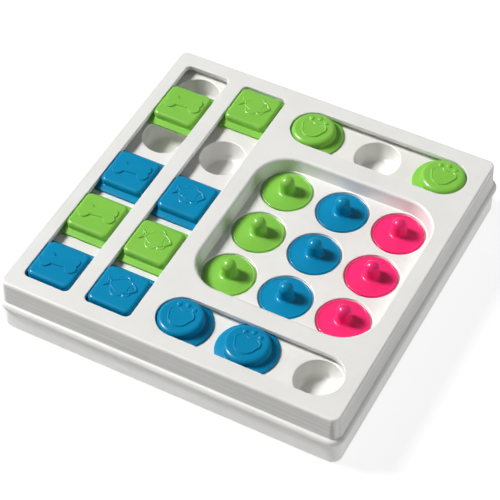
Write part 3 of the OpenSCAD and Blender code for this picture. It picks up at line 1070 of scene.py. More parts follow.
@dataclass
class TrackTray:
    """A tray under one slot: the groove that its sliders run in, and the cups."""

    layout: Layout
    node: str
    middle: Point
    width: float
    depth: float
    corner: float
    cups: tuple[Point, ...]
    ears: tuple[Ear, ...]
    cup_depth: float = 17.0
    cup_draw: float = 2.0
    cup_round: float = 5.0
    cup_eye_r: float = 1.0
    rim_r: float = 0.8
    groove_r: float = 0.5
    panel_gap: float = 0.05
    sink: float = 0.1
    land: float = 0.6

    def cup_section(self) -> list[Point]:
        """Draws a cup.

        Returns:
            Points from the floor of the groove over the cup's rim to its own floor.
        """
        top, bed_z = self.layout.cup_r, self.layout.bed_z
        low, floor_z = top - self.cup_draw, bed_z - self.cup_depth
        lean = math.degrees(math.atan(self.cup_draw / (self.cup_depth - self.cup_round)))
        section = [(top + self.rim_r + self.land, bed_z)]
        section += arc((top + self.rim_r, bed_z - self.rim_r), self.rim_r, 90, 180 + lean, 6)
        heel = (low - self.cup_round, floor_z + self.cup_round)
        section += arc(heel, self.cup_round, 0, -90, 9)
        return section + [(heel[0] / 2, floor_z), (self.cup_eye_r, floor_z)]

    def groove_section(self) -> list[Point]:
        """Draws the edge of the groove.

        Returns:
            Points from the floor of the groove up to the panel.
        """
        lay, r = self.layout, self.groove_r
        section = [(self.corner - r - self.land, lay.bed_z)]
        section += arc((self.corner - r, lay.bed_z + r), r, -90, 0, 4)
        return section + [(self.corner, lay.panel_z - self.panel_gap)]

    def build(self) -> bpy.types.Object:
        """Makes the tray as a sheet with an even wall, and its screw ears.

        Returns:
            The tray's object.
        """
        shell = Shell()
        ring = Ring.rounded(self.width, self.depth, self.corner, self.middle, 16)
        floor = [shell.sweep(ring, self.groove_section())[0]]
        for cup in self.cups:
            loops = shell.sweep(Ring.circle(cup, turns=20), self.cup_section())
            shell.fan(loops[-1])
            floor.append(loops[0])
        shell.span(*floor)
        sheet = shell.finish(f"{self.node}_moulding", SHEET_CRISP)
        face_up(sheet)
        thicken(sheet, self.layout.tray_wall - self.sink)
        self.add_ears(sheet)
        return sheet

    def add_ears(self, sheet: bpy.types.Object) -> None:
        """Joins the ears that carry the screws to the tray's mesh.

        Args:
            sheet: the tray's object.
        """
        shell, lay = Shell(), self.layout
        for outline, holes in self.ears:
            shell.slab(outline, holes, lay.screw_bore_r, lay.bed_z - lay.tray_wall, lay.bed_z - self.sink)
        shell.face_out()
        shell.bm.from_mesh(sheet.data)
        shell.write(sheet.data, EAR_CRISP)

    def dress(self, piece: bpy.types.Object) -> None:
        """Finishes the tray."""
        dress(piece, TRAY_WHITE, "board", "white_plastic", self.node)


@dataclass
class LidTray:
    """The floor of the recess with a ledged well under each lid."""

    layout: Layout
    width: float = 169.8
    depth: float = 168.0
    corner: float = 6.4
    bore_r: float = 22.85
    well_r: float = 19.5
    well_depth: float = 12.4
    well_eye_r: float = 1.0
    draw: float = 2.0
    round_r: float = 5.0
    edge_r: float = 0.5
    edge_drop: float = 0.02
    chamfer: float = 0.3
    wall: float = 1.6
    land: float = 0.5

    def well_section(self) -> list[Point]:
        """Draws a well.

        Returns:
            Points from the recess floor, over the ledge to the well's own floor.
        """
        lay, r = self.layout, self.edge_r
        floor_z = lay.ledge_z - self.well_depth
        section = [(self.bore_r + r + self.land, lay.recess_z)]
        section += arc((self.bore_r + r, lay.recess_z - r), r, 90, 180, 4)
        section += [(self.bore_r, lay.ledge_z + self.chamfer), (self.bore_r - self.chamfer, lay.ledge_z)]
        section += arc((self.well_r + r, lay.ledge_z - r), r, 90, 180, 4)
        heel = (self.well_r - self.draw - self.round_r, floor_z + self.round_r)
        section += arc(heel, self.round_r, 0, -90, 8)
        return section + [(heel[0] / 2, floor_z), (self.well_eye_r, floor_z)]

    def build(self) -> bpy.types.Object:
        """Makes the tray as a sheet with an even wall.

        Returns:
            The tray's object.
        """
        lay, shell = self.layout, Shell()
        ring = Ring.rounded(self.width, self.depth, self.corner, (lay.recess_x, 0.0), 16)
        rim = [(self.corner - self.land, lay.recess_z), (self.corner, lay.recess_z - self.edge_drop)]
        floor = [shell.sweep(ring, rim)[0]]
        for ear in lay.lid_ears():
            floor.append(shell.loop(Ring.circle(ear, turns=6).at(lay.screw_bore_r), lay.recess_z))
        for column in (-1, 0, 1):
            for row in (-1, 0, 1):
                place = (lay.recess_x + column * lay.lid_pitch, row * lay.lid_pitch)
                loops = shell.sweep(Ring.circle(place, turns=24), self.well_section())
                shell.fan(loops[-1])
                floor.append(loops[0])
        shell.span(*floor)
        sheet = shell.finish("lid_tray_moulding", SHEET_CRISP)
        face_up(sheet)
        return thicken(sheet, self.wall)

    def dress(self, piece: bpy.types.Object) -> None:
        """Finishes the lid tray."""
        dress(piece, TRAY_WHITE, "board", "white_plastic", "lid_tray")


# Sliders

FACE_SHARE = 0.6
BEAD_INSET = 0.75
BEAD_HALF = 0.45
BEAD_EDGE = 0.6


def disc(x: np.ndarray, y: np.ndarray, middle: Point, radius: float) -> np.ndarray:
    """Signed distance to a circle, negative inside."""
    return np.hypot(x - middle[0], y - middle[1]) - radius


def tilted(x: np.ndarray, y: np.ndarray, tilt: float) -> tuple[np.ndarray, np.ndarray]:
    """Coordinates along and across a figure that is turned by an angle in degrees."""
    turn = math.radians(tilt)
    return x * math.cos(turn) + y * math.sin(turn), y * math.cos(turn) - x * math.sin(turn)


def blended(first: np.ndarray, second: np.ndarray, soft: float, swell: float) -> np.ndarray:
    """Joins two shapes so that one runs softly into the other.

    Args:
        first: signed distance to the one.
        second: signed distance to the other.
        soft: width over which they meet.
        swell: how far they grow where they meet, as a share of that width.

    Returns:
        Signed distance to both together.
    """
    share = np.clip(0.5 + 0.5 * (first - second) / soft, 0, 1)
    return first * (1 - share) + second * share - swell * soft * share * (1 - share)


def raised(distance: np.ndarray, edge: float) -> np.ndarray:
    """Soft step from 0 outside a shape to 1 inside it, over the width of its edge."""
    share = np.clip(0.5 - distance / edge, 0.0, 1.0)
    return share * share * (3 - 2 * share)


def embossed(distance: np.ndarray, edge: float) -> np.ndarray:
    """Height of a figure with a bead along its outline: 1 on the bead, less inside it, 0 outside."""
    bead = raised(np.abs(distance + BEAD_INSET) - BEAD_HALF, BEAD_EDGE)
    return FACE_SHARE * raised(distance, edge) + (1 - FACE_SHARE) * bead


@dataclass(frozen=True)
class BoneRelief:
    """A bone across the slider: a shaft and four round ends."""

    length: float = 22.5
    lobe_r: float = 5.0
    lobe_y: float = 3.4
    shaft_w: float = 8.0
    lift: float = 1.2
    tilt: float = 6.0
    soft: float = 1.2
    edge: float = 0.6

    def height(self, x: np.ndarray, y: np.ndarray) -> np.ndarray:
        """Raises the bone.

        Args:
            x: points of the top face along X.
            y: the same points along Y.

        Returns:
            Share of the relief's height at each point.
        """
        u, v = tilted(x, y - self.lift, self.tilt)
        out_u, out_v = np.abs(u) - self.length / 2, np.abs(v) - self.shaft_w / 2
        shaft = np.hypot(np.maximum(out_u, 0), np.maximum(out_v, 0)) + np.minimum(np.maximum(out_u, out_v), 0)
        lobes = disc(np.abs(u), np.abs(v), (self.length / 2, self.lobe_y), self.lobe_r)
        return raised(blended(lobes, shaft, self.soft, 1.0), self.edge)


@dataclass(frozen=True)
class FishRelief:
    """A fish across the slider, with fins, a tail, a gill line and an eye."""

    middle: Point = (-0.3, 2.6)
    tilt: float = 2.0
    nose_x: float = 15.0
    body_l: float = 25.0
    body_w: float = 15.0
    tail_l: float = 7.0
    tail_w: float = 12.0
    tail_notch: float = 2.0
    tail_slant: float = 0.8
    fins: tuple[Place, ...] = ((0.5, 4.6, 6.6), (-0.5, -5.6, 5.8), (7.5, -5.2, 4.0))
    fin_share: float = 0.55
    gill_x: float = 7.6
    gill_r: float = 7.5
    gill_half: float = 0.2
    gill_edge: float = 0.9
    gill_inset: float = 0.9
    gill_fade: float = 0.8
    gill_cut: float = 0.75
    eye_back: float = 3.6
    eye_y: float = 1.2
    eye_r: float = 0.7
    eye_cut: float = 0.6
    edge: float = 0.6

    def height(self, x: np.ndarray, y: np.ndarray) -> np.ndarray:
        """Raises the fish.

        Args:
            x: points of the top face along X.
            y: the same points along Y.

        Returns:
            Share of the relief's height at each point.
        """
        x, y = tilted(x - self.middle[0], y - self.middle[1], self.tilt)
        bow = (self.body_l**2 + self.body_w**2) / (4 * self.body_w)
        rise, mid = bow - self.body_w / 2, self.nose_x - self.body_l / 2
        body = np.maximum(disc(x, y, (mid, rise), bow), disc(x, y, (mid, -rise), bow))
        back = self.nose_x - self.body_l + self.tail_l / 2 - x
        fan = np.abs(y) - self.tail_w / 2 * np.clip(back / self.tail_l, 0, 1)
        notch = back - self.tail_l + self.tail_notch * np.clip(1 - np.abs(y) / (self.tail_w / 2), 0, 1)
        tail = np.maximum(np.maximum(fan * self.tail_slant, notch), -back)
        shape = embossed(np.minimum(body, tail), self.edge)
        for fin_x, fin_y, fin_r in self.fins:
            fin = embossed(disc(x, y, (fin_x, fin_y), fin_r), self.edge)
            shape = np.maximum(shape, self.fin_share * fin)
        gill_end = self.gill_x + self.gill_r
        gill = raised(np.abs(disc(x, y, (gill_end, 0.0), self.gill_r)) - self.gill_half, self.gill_edge)
        line = gill * (x < gill_end) * raised(body + self.gill_inset, self.gill_fade)
        eye = raised(disc(x, y, (self.nose_x - self.eye_back, self.eye_y), self.eye_r), self.eye_r)
        return shape * (1 - self.gill_cut * line - self.eye_cut * eye)


@dataclass(frozen=True)
class PawRelief:
    """A paw print: a broad pad and three toes."""

    pad_r: float = 9.6
    lobe_r: float = 5.6
    lobe_x: float = 5.8
    lobe_y: float = 3.2
    pad_y: float = -2.2
    soft: float = 2.0
    notch_y: float = 9.4
    notch_r: float = 4.0
    toe_r: float = 2.2
    toe_reach: float = 11.7
    toe_turn: float = 36.0
    tilt: float = -2.0
    edge: float = 0.7

    def height(self, x: np.ndarray, y: np.ndarray) -> np.ndarray:
        """Raises the paw.

        Args:
            x: points of the top face along X.
            y: the same points along Y.

        Returns:
            Share of the relief's height at each point.
        """
        x, y = tilted(x, y, self.tilt)
        lobes = disc(np.abs(x), y, (self.lobe_x, self.pad_y + self.lobe_y), self.lobe_r)
        pad = blended(lobes, disc(x, y, (0.0, self.pad_y), self.pad_r), self.soft, 0.5)
        height = embossed(np.maximum(pad, -disc(x, y, (0.0, self.notch_y), self.notch_r)), self.edge)
        for toe in arc((0.0, 0.0), self.toe_reach, 90 - self.toe_turn, 90 + self.toe_turn, 2):
            dome = np.clip(1 - (np.hypot(x - toe[0], y - toe[1]) / self.toe_r) ** 2, 0, 1)
            height = np.maximum(height, np.sqrt(dome))
        return height


@dataclass
class Slider:
    """A captive cover: a block with a relief, on a flange that runs under the cover."""

    layout: Layout
    node: str
    tint: Tint
    relief: BoneRelief | FishRelief | PawRelief
    block: Point = (40.0, 39.0)
    block_corner: float = 5.5
    edge_r: float = 3.2
    flange: Point = Layout.flange
    flange_corner: float = 5.5
    flange_t: float = 3.4
    flange_drop: float = 1.2
    flange_foot_r: float = 0.5
    flange_edge_r: float = 0.6
    flange_edge_turn: float = 70.0
    cove_r: float = 0.6
    wall: float = 2.2
    hollow_corner: float = 1.0
    foot_chamfer: float = 0.4
    roof_chamfer: float = 0.8
    top_t: float = 5.6
    proud: float = 1.6
    relief_h: float = 1.1
    turns: int = 12
    step: float = 0.42
    rings: int = 76
    land: float = 0.5

    @classmethod
    def round(cls, layout: Layout, node: str, tint: Tint) -> "Slider":
        """The round kind, for the round-ended slots."""
        block_d, flange_d = 38.4, layout.round_flange_d
        return cls(layout, node, tint, PawRelief(), block=(block_d, block_d), block_corner=block_d / 2,
                   edge_r=4.0, flange=(flange_d, flange_d), flange_corner=flange_d / 2, flange_drop=2.2,
                   turns=64)

    def flange_loops(self, shell: Shell, place: Point) -> tuple[Loop, Loop]:
        """Carries the flange's edge round.

        Args:
            shell: the slider's mesh.
            place: the slider's centre.

        Returns:
            Its lowest and its highest loop.
        """
        foot_r, edge_r = self.flange_foot_r, self.flange_edge_r
        low, high = self.layout.flange_z, self.layout.flange_z + self.flange_t - self.flange_drop
        ring = Ring.rounded(*self.flange, self.flange_corner, place, self.turns)
        section = [(self.flange_corner - foot_r - self.land, low)]
        section += arc((self.flange_corner - foot_r, low + foot_r), foot_r, -90, 0, 3)
        section += arc((self.flange_corner - edge_r, high - edge_r), edge_r, 0, self.flange_edge_turn, 5)
        loops = shell.sweep(ring, section)
        return loops[0], loops[-1]

    def block_loops(self, shell: Shell, place: Point) -> tuple[Loop, Loop]:
        """Carries the block's outer wall round.

        Args:
            shell: the slider's mesh.
            place: the slider's centre.

        Returns:
            The loop on the flange and the loop where the rounded top edge ends.
        """
        ring = Ring.rounded(*self.block, self.block_corner, place, self.turns, self.step)
        seat, foot = self.layout.flange_z + self.flange_t, self.block_corner + self.cove_r
        section = [(foot + self.land, seat)]
        section += arc((foot, seat + self.cove_r), self.cove_r, 270, 180, 4)
        section += arc((self.block_corner - self.edge_r, self.top_z() - self.edge_r), self.edge_r, 0, 90, 9)
        loops = shell.sweep(ring, section)
        return loops[0], loops[-1]

    def hollow_loops(self, shell: Shell, place: Point) -> tuple[Loop, Loop]:
        """Carries the wall of the hollow underneath round.

        Args:
            shell: the slider's mesh.
            place: the slider's centre.

        Returns:
            Its lowest loop and the loop round its roof.
        """
        corner = max(self.block_corner - self.wall, self.hollow_corner)
        low, roof = self.layout.flange_z, self.roof_z()
        width, depth = (size - 2 * self.wall for size in self.block)
        loops = shell.sweep(Ring.rounded(width, depth, corner, place, self.turns), [
            (corner + self.foot_chamfer, low),
            (corner, low + self.foot_chamfer),
            (corner, roof - self.roof_chamfer),
            (corner - self.roof_chamfer, roof),
        ])
        return loops[0], loops[-1]

    def top_z(self) -> float:
        """Height of the top face."""
        return self.layout.top_z + self.proud

    def roof_z(self) -> float:
        """Height of the hollow's roof."""
        return self.top_z() - self.top_t

    def top(self, shell: Shell, edge: Loop, place: Point) -> None:
        """Closes the top face with the relief raised from it.

        Args:
            shell: the slider's mesh.
            edge: the loop where the rounded edge ends.
            place: the slider's centre.
        """
        outer = np.array([(v.co.x / MM - place[0], v.co.y / MM - place[1]) for v in edge])
        last = edge
        for share in np.linspace(1, 0, self.rings + 1)[1:-1]:
            flat = outer * share
            height = self.relief.height(flat[:, 0], flat[:, 1]) * self.relief_h
            loop = shell.loop(flat + np.array(place), self.top_z() + height)
            shell.join(last, loop)
            last = loop
        shell.fan(last)

    def build(self) -> bpy.types.Object:
        """Makes the slider as one closed moulding, hollow underneath.

        Returns:
            The slider's object.
        """
        shell, place = Shell(), middle_of(self.node)
        flange_low, flange_high = self.flange_loops(shell, place)
        block_low, block_high = self.block_loops(shell, place)
        shell.span(flange_high, block_low)
        self.top(shell, block_high, place)
        hollow_low, roof = self.hollow_loops(shell, place)
        shell.span(flange_low, hollow_low)
        shell.span(roof)
        return shell.finish(f"{self.node}_moulding")

    def dress(self, piece: bpy.types.Object) -> None:
        """Finishes the slider."""
        dress(piece, self.tint.value, self.node, self.tint.slot, self.node)


# Turned and repeated pieces


def coated(nodes: Nodes, pieces: bpy.types.NodeSocket, finish: bpy.types.NodeSocket) -> bpy.types.NodeSocket:
    """Ends a tree with real geometry that has its finish."""
    real = nodes.out("GeometryNodeRealizeInstances", {0: pieces})
    return nodes.out("GeometryNodeSetMaterial", {"Geometry": real, "Material": finish})


@cache
def turned_piece() -> bpy.types.NodeTree:
    """Geometry that turns a section, drawn in X and Z, about the Z axis.

    Returns:
        A node group with the inputs Section and Segments.
    """
    nodes = Nodes.group("TurnedPiece", "GeometryNodeTree", [
        Socket("Section", "Geometry"), Socket("Segments", "Int", 64),
    ], [Socket("Piece", "Geometry")])
    start, end = nodes.ends()
    seam = 0.001 * MM
    points = nodes.add("GeometryNodeAttributeDomainSize", {0: start["Section"]}).outputs["Point Count"]
    columns = nodes.math("ADD", start["Segments"], 1.0)
    grid = nodes.out("GeometryNodeMeshGrid", {"Vertices X": columns, "Vertices Y": points})
    index = nodes.out("GeometryNodeInputIndex")
    column = nodes.math("FLOOR", nodes.math("DIVIDE", nodes.math("ADD", index, 0.5), points))
    row = nodes.math("SUBTRACT", index, nodes.math("MULTIPLY", column, points))
    angle = nodes.math("DIVIDE", nodes.math("MULTIPLY", column, 2 * math.pi), start["Segments"])
    drawn = nodes.out("GeometryNodeSampleIndex", {
        "Geometry": start["Section"], "Value": nodes.out("GeometryNodeInputPosition"), "Index": row,
    }, data_type="FLOAT_VECTOR")
    split = nodes.add("ShaderNodeSeparateXYZ", {0: drawn}).outputs
    place = nodes.out("ShaderNodeCombineXYZ", {
        "X": nodes.math("MULTIPLY", split["X"], nodes.math("COSINE", angle)),
        "Y": nodes.math("MULTIPLY", split["X"], nodes.math("SINE", angle)),
        "Z": split["Z"],
    })
    moved = nodes.out("GeometryNodeSetPosition", {"Geometry": grid, "Position": place})
    nodes.feed(end["Piece"], nodes.out("GeometryNodeMergeByDistance", {"Geometry": moved, "Distance": seam}))
    return nodes.tree


@cache
def placed_pieces() -> bpy.types.NodeTree:
    """Geometry that sets a turned piece on every point of a mesh, with a cross recess cut into it.

    Returns:
        A node group whose own geometry is the points.
    """
    sizes = ("Recess Length", "Recess Width", "Recess Depth", "Recess Height", "Turn")
    nodes = Nodes.group("PlacedPieces", "GeometryNodeTree", [
        Socket("Places", "Geometry"), Socket("Section", "Object"), Socket("Segments", "Int", 48),
        *(Socket(name) for name in sizes), Socket("Finish", "Material"),
    ], [Socket("Pieces", "Geometry")])
    start, end = nodes.ends()
    section = nodes.add("GeometryNodeObjectInfo", {"Object": start["Section"]}).outputs["Geometry"]
    turned = nodes.out("GeometryNodeGroup", {"Section": section, "Segments": start["Segments"]},
                       node_tree=turned_piece())
    cut = nodes.add("GeometryNodeMeshBoolean", {"Mesh 1": turned}, operation="DIFFERENCE")
    height = nodes.math("MULTIPLY", start["Recess Depth"], 2.0)
    drop = nodes.out("ShaderNodeCombineXYZ", {"Z": start["Recess Height"]})
    for along, across in (("Recess Length", "Recess Width"), ("Recess Width", "Recess Length")):
        size = nodes.out("ShaderNodeCombineXYZ", {"X": start[along], "Y": start[across], "Z": height})
        blade = nodes.out("GeometryNodeMeshCube", {"Size": size})
        lowered = nodes.out("GeometryNodeTransform", {"Geometry": blade, "Translation": drop})
        nodes.feed(cut.inputs["Mesh 2"], lowered)
    turn = nodes.math("MULTIPLY", nodes.out("GeometryNodeInputIndex"), start["Turn"])
    copies = nodes.out("GeometryNodeInstanceOnPoints", {
        "Points": start["Places"], "Instance": cut.outputs["Mesh"],
        "Rotation": nodes.out("ShaderNodeCombineXYZ", {"Z": turn}),
    })
    nodes.feed(end["Pieces"], coated(nodes, copies, start["Finish"]))
    return nodes.tree


@cache
def lathe_tree() -> bpy.types.NodeTree:
    """Geometry that turns a piece's own section and gives it its finish.

    Returns:
        A node group for a single turned piece.
    """
    nodes = Nodes.group("Lathe", "GeometryNodeTree", [
        Socket("Section", "Geometry"), Socket("Segments", "Int", 96), Socket("Finish", "Material"),
    ], [Socket("Piece", "Geometry")])
    start, end = nodes.ends()
    turned = nodes.out("GeometryNodeGroup", {"Section": start["Section"], "Segments": start["Segments"]},
                       node_tree=turned_piece())
    nodes.feed(end["Piece"], coated(nodes, turned, start["Finish"]))
    return nodes.tree


def polyline(name: str, points: Sequence[Place], joined: bool) -> bpy.types.Object:
    """Makes a helper mesh of points, in millimetres.

    Args:
        name: name of the helper.
        points: its points, in order.
        joined: whether they are joined into a line.

    Returns:
        The linked helper.
    """
    mesh = bpy.data.meshes.new(name)
    edges = [(i, i + 1) for i in range(len(points) - 1)] if joined else []
    mesh.from_pydata([(x * MM, y * MM, z * MM) for x, y, z in points], edges, [])
    return link(name, mesh)


def section_line(name: str, points: Sequence[Point]) -> bpy.types.Object:
    """Makes a helper of a half section, drawn in X and Z."""
    return polyline(name, [(x, 0.0, z) for x, z in points], True)


def worked(helper: bpy.types.Object, tree: bpy.types.NodeTree, values: dict[str, object]) -> bpy.types.Mesh:
    """Runs a geometry tree on a helper and takes the plain mesh.

    Args:
        helper: the object whose mesh goes in.
        tree: the tree.
        values: its inputs by name.

    Returns:
        The mesh, with its faces turned outwards. The helper is removed.
    """
    step = helper.modifiers.new("work", "NODES")
    step.node_group = tree
    for item in tree.interface.items_tree:
        if item.item_type == "SOCKET" and item.in_out == "INPUT" and item.name in values:
            step[item.identifier] = values[item.name]
    mesh = applied(helper)
    helper.modifiers.remove(step)
    bpy.data.objects.remove(helper)
    shell = Shell()
    shell.bm.from_mesh(mesh)
    shell.face_out()
    shell.write(mesh, CRISP)
    return mesh


@dataclass(frozen=True)
class Cross:
    """A cross recess in millimetres, and the turn in radians from one piece to the next."""

    length: float
    width: float
    depth: float
    turn: float = 0.0


def set_of(name: str, section: Sequence[Point], places: Sequence[Place], cross: Cross, cross_z: float,
           segments: int, finish: Finish) -> bpy.types.Mesh:
    """Sets one turned piece at each place.

    Args:
        name: name of the helpers.
        section: half section of the piece.
        places: where the pieces go.
        cross: the recess cut into each.
        cross_z: height of the face that the recess is cut into.
        segments: pieces that a full turn is cut into.
        finish: finish of the pieces.

    Returns:
        The plain mesh of all of them.
    """
    drawn = section_line(f"{name}_section", section)
    mesh = worked(polyline(f"{name}_places", places, False), placed_pieces(), {
        "Section": drawn, "Segments": segments, "Recess Length": cross.length * MM,
        "Recess Width": cross.width * MM, "Recess Depth": cross.depth * MM, "Recess Height": cross_z * MM,
        "Turn": cross.turn, "Finish": finish.material(),
    })
    bpy.data.objects.remove(drawn)
    return mesh


@dataclass
class KnobLid:
    """A lift-off lid: a shallow cone with a peg knob, and a ring that keeps it in its well."""

    layout: Layout
    node: str
    tint: Tint
    radius: float = 21.3
    thickness: float = 2.0
    rise: float = 1.8
    round_r: float = 0.6
    bead: float = 0.5
    foot_chamfer: float = 0.3
    knob_r: float = 6.3
    knob_h: float = 15.5
    neck_h: float = 1.0
    flare_r: float = 2.6
    bore_chamfer: float = 0.6
    ring_r: float = 18.09
    ring_t: float = 1.6
    ring_h: float = 3.0
    ring_chamfer: float = 0.4
    cone_steps: tuple[float, ...] = (0.0, 0.35, 0.65, 0.9)
    segments: int = 96

    def under_section(self) -> list[Point]:
        """Draws the lid's underside.

        Returns:
            Points from the axis in the knob's bore, round the ring to the lid's edge.
        """
        bore_r, roof = self.knob_r - self.thickness, self.apex() - 2 * self.thickness
        inner, chamfer, low = self.ring_r - self.ring_t, self.ring_chamfer, -self.ring_h
        return [
            (0.0, roof),
            (bore_r, roof),
            (bore_r, self.rise + self.bore_chamfer),
            (bore_r + self.bore_chamfer, self.rise),
            (self.knob_r + self.flare_r, self.rise),
            (inner, 0.0),
            (inner, chamfer + low),
            (inner + chamfer, low),
            (self.ring_r - chamfer, low),
            (self.ring_r, chamfer + low),
            (self.ring_r, 0.0),
            (self.radius - self.foot_chamfer, 0.0),
            (self.radius, self.foot_chamfer),
        ]

    def upper_section(self) -> list[Point]:
        """Draws the lid's upper side.

        Returns:
            Points from the lid's edge over its bead and cone to the top of the knob.
        """
        foot_r, knob_z, apex = self.knob_r + self.flare_r, self.thickness + self.rise, self.apex()
        bead_z, slope = self.thickness + self.bead - self.round_r, self.rise / (self.radius - foot_r)
        points = arc((self.radius - self.round_r, bead_z), self.round_r, 0, 90, 5)
        points += arc((self.radius - 2 * self.round_r, bead_z), self.round_r, 90, 140, 4)
        cone_r = self.radius - 4 * self.round_r
        for share in self.cone_steps:
            reach = cone_r - (cone_r - foot_r) * share
            points.append((reach, self.thickness + (self.radius - reach) * slope))
        lean = math.degrees(math.atan(slope))
        points += arc((foot_r, knob_z + self.flare_r), self.flare_r, 270 - lean, 180, 7)
        points.append((self.knob_r, apex - self.knob_r - self.neck_h))
        points += arc((0.0, apex - self.knob_r), self.knob_r, 0, 90, 12)
        return [(max(x, 0.0), z) for x, z in points]

    def apex(self) -> float:
        """Height of the knob's top over the ledge."""
        return self.thickness + self.rise + self.knob_h

    def build(self) -> bpy.types.Object:
        """Turns the lid and sets it in its well.

        Returns:
            The lid's object.
        """
        helper = section_line(f"{self.node}_section", self.under_section() + self.upper_section())
        mesh = worked(helper, lathe_tree(), {"Segments": self.segments, "Finish": self.tint.value.material()})
        x, y = middle_of(self.node)
        mesh.transform(Matrix.Translation((x * MM, y * MM, self.layout.ledge_z * MM)))
        return link(f"{self.node}_turned", mesh)

    def dress(self, piece: bpy.types.Object) -> None:
        """Finishes the lid."""
        dress(piece, self.tint.value, self.node, self.tint.slot, self.node)


@dataclass
class Screws:
    """Pan head screws with a cross recess, set head down."""

    layout: Layout
    head_r: float = 2.5
    head_h: float = 1.8
    head_round: float = 0.9
    shank_r: float = 1.1
    tip_r: float = 0.4
    tip_h: float = 1.0
    grip: float = 6.0
    cross: Cross = Cross(2.8, 0.6, 1.0, 0.7)
    segments: int = 32

    def section(self, reach: float) -> list[Point]:
        """Draws half a screw whose head seat lies at height 0.

        Args:
            reach: length of the shank.

        Returns:
            Points from the head's middle to the tip.
        """
        r = self.head_round
        dome = arc((self.head_r - r, r - self.head_h), r, -90, 0, 5)
        shank = [(self.head_r, 0.0), (self.shank_r, 0.0), (self.shank_r, reach - self.tip_h),
                 (self.tip_r, reach), (0.0, reach)]
        return [(0.0, -self.head_h), *dome, *shank]

    def screw_set(self, kind: str, places: Sequence[Place], held: float) -> tuple[bpy.types.Object, str]:
        """Makes the screws of one kind.

        Args:
            kind: the kind's name.
            places: points of the head seats.
            held: thickness of the wall that they hold.

        Returns:
            The object and the CAD node it stands for.
        """
        name = f"{kind}_screw"
        section = self.section(held + self.grip)
        mesh = set_of(name, section, places, self.cross, -self.head_h, self.segments, SCREW_STEEL)
        return link(f"{name}_set", mesh), f"{name}s"

    def build(self) -> list[tuple[bpy.types.Object, str]]:
        """Makes the tray screws and the base screws.

        Returns:
            Each object with the CAD node it stands for.
        """
        lay = self.layout
        tray = [(x, y, lay.bed_z - lay.tray_wall) for x, y in lay.tray_ears()]
        tray += [(x, y, lay.recess_z - lay.tray_wall) for x, y in lay.lid_ears()]
        base = [(x, y, lay.cover_foot_z - lay.base_floor) for x, y in lay.base_bosses()]
        return [self.screw_set("tray", tray, lay.tray_wall), self.screw_set("base", base, lay.base_floor)]

    def dress(self, pieces: list[tuple[bpy.types.Object, str]]) -> None:
        """Finishes both sets."""
        for piece, node in pieces:
            dress(piece, SCREW_STEEL, "board", "screw_steel", node)


@dataclass
class Feet:
    """Rubber feet, with a shallow dish and a fine cross cut into each."""

    places: Sequence[Point]
    radius: float = 9.0
    height: float = 2.6
    edge_r: float = 0.8
    chamfer: float = 0.2
    dish_r: float = 4.4
    dish_slope: float = 0.5
    dish_depth: float = 0.25
    cross: Cross = Cross(5.2, 0.5, 0.5)
    segments: int = 48

    def section(self) -> list[Point]:
        """Draws half a foot.

        Returns:
            Points from the dish's middle, round the edge to the axis above.
        """
        r, high = self.edge_r, self.height
        points = [(0.0, self.dish_depth), (self.dish_r, self.dish_depth)]
        points.append((self.dish_r + self.dish_slope, 0.0))
        points += arc((self.radius - r, r), r, -90, 0, 5)
        return points + [(self.radius, high - self.chamfer), (self.radius - self.chamfer, high), (0.0, high)]

    def build(self) -> bpy.types.Object:
        """Turns the feet and sets them in their seats.

        Returns:
            The object of all the feet.
        """
        places = [(x, y, 0.0) for x, y in self.places]
        mesh = set_of("foot", self.section(), places, self.cross, 0.0, self.segments, FOOT_RUBBER)
        return link("foot_set", mesh)

    def dress(self, piece: bpy.types.Object) -> None:
        """Finishes the feet."""
        dress(piece, FOOT_RUBBER, "board", "foot_rubber", "rubber_feet")


# Studio


def seen_rays(nodes: Nodes) -> bpy.types.NodeSocket:
    """Finds the rays that see the background: from the camera, from gloss and through clear pieces.

    Args:
        nodes: the tree of the background's material or of the world.

    Returns:
        A mask that is 1 for those rays.
    """
    path = nodes.add("ShaderNodeLightPath").outputs
    shown = nodes.math("MAXIMUM", path["Is Camera Ray"], path["Is Glossy Ray"])
    return nodes.math("MAXIMUM", shown, path["Is Transmission Ray"])


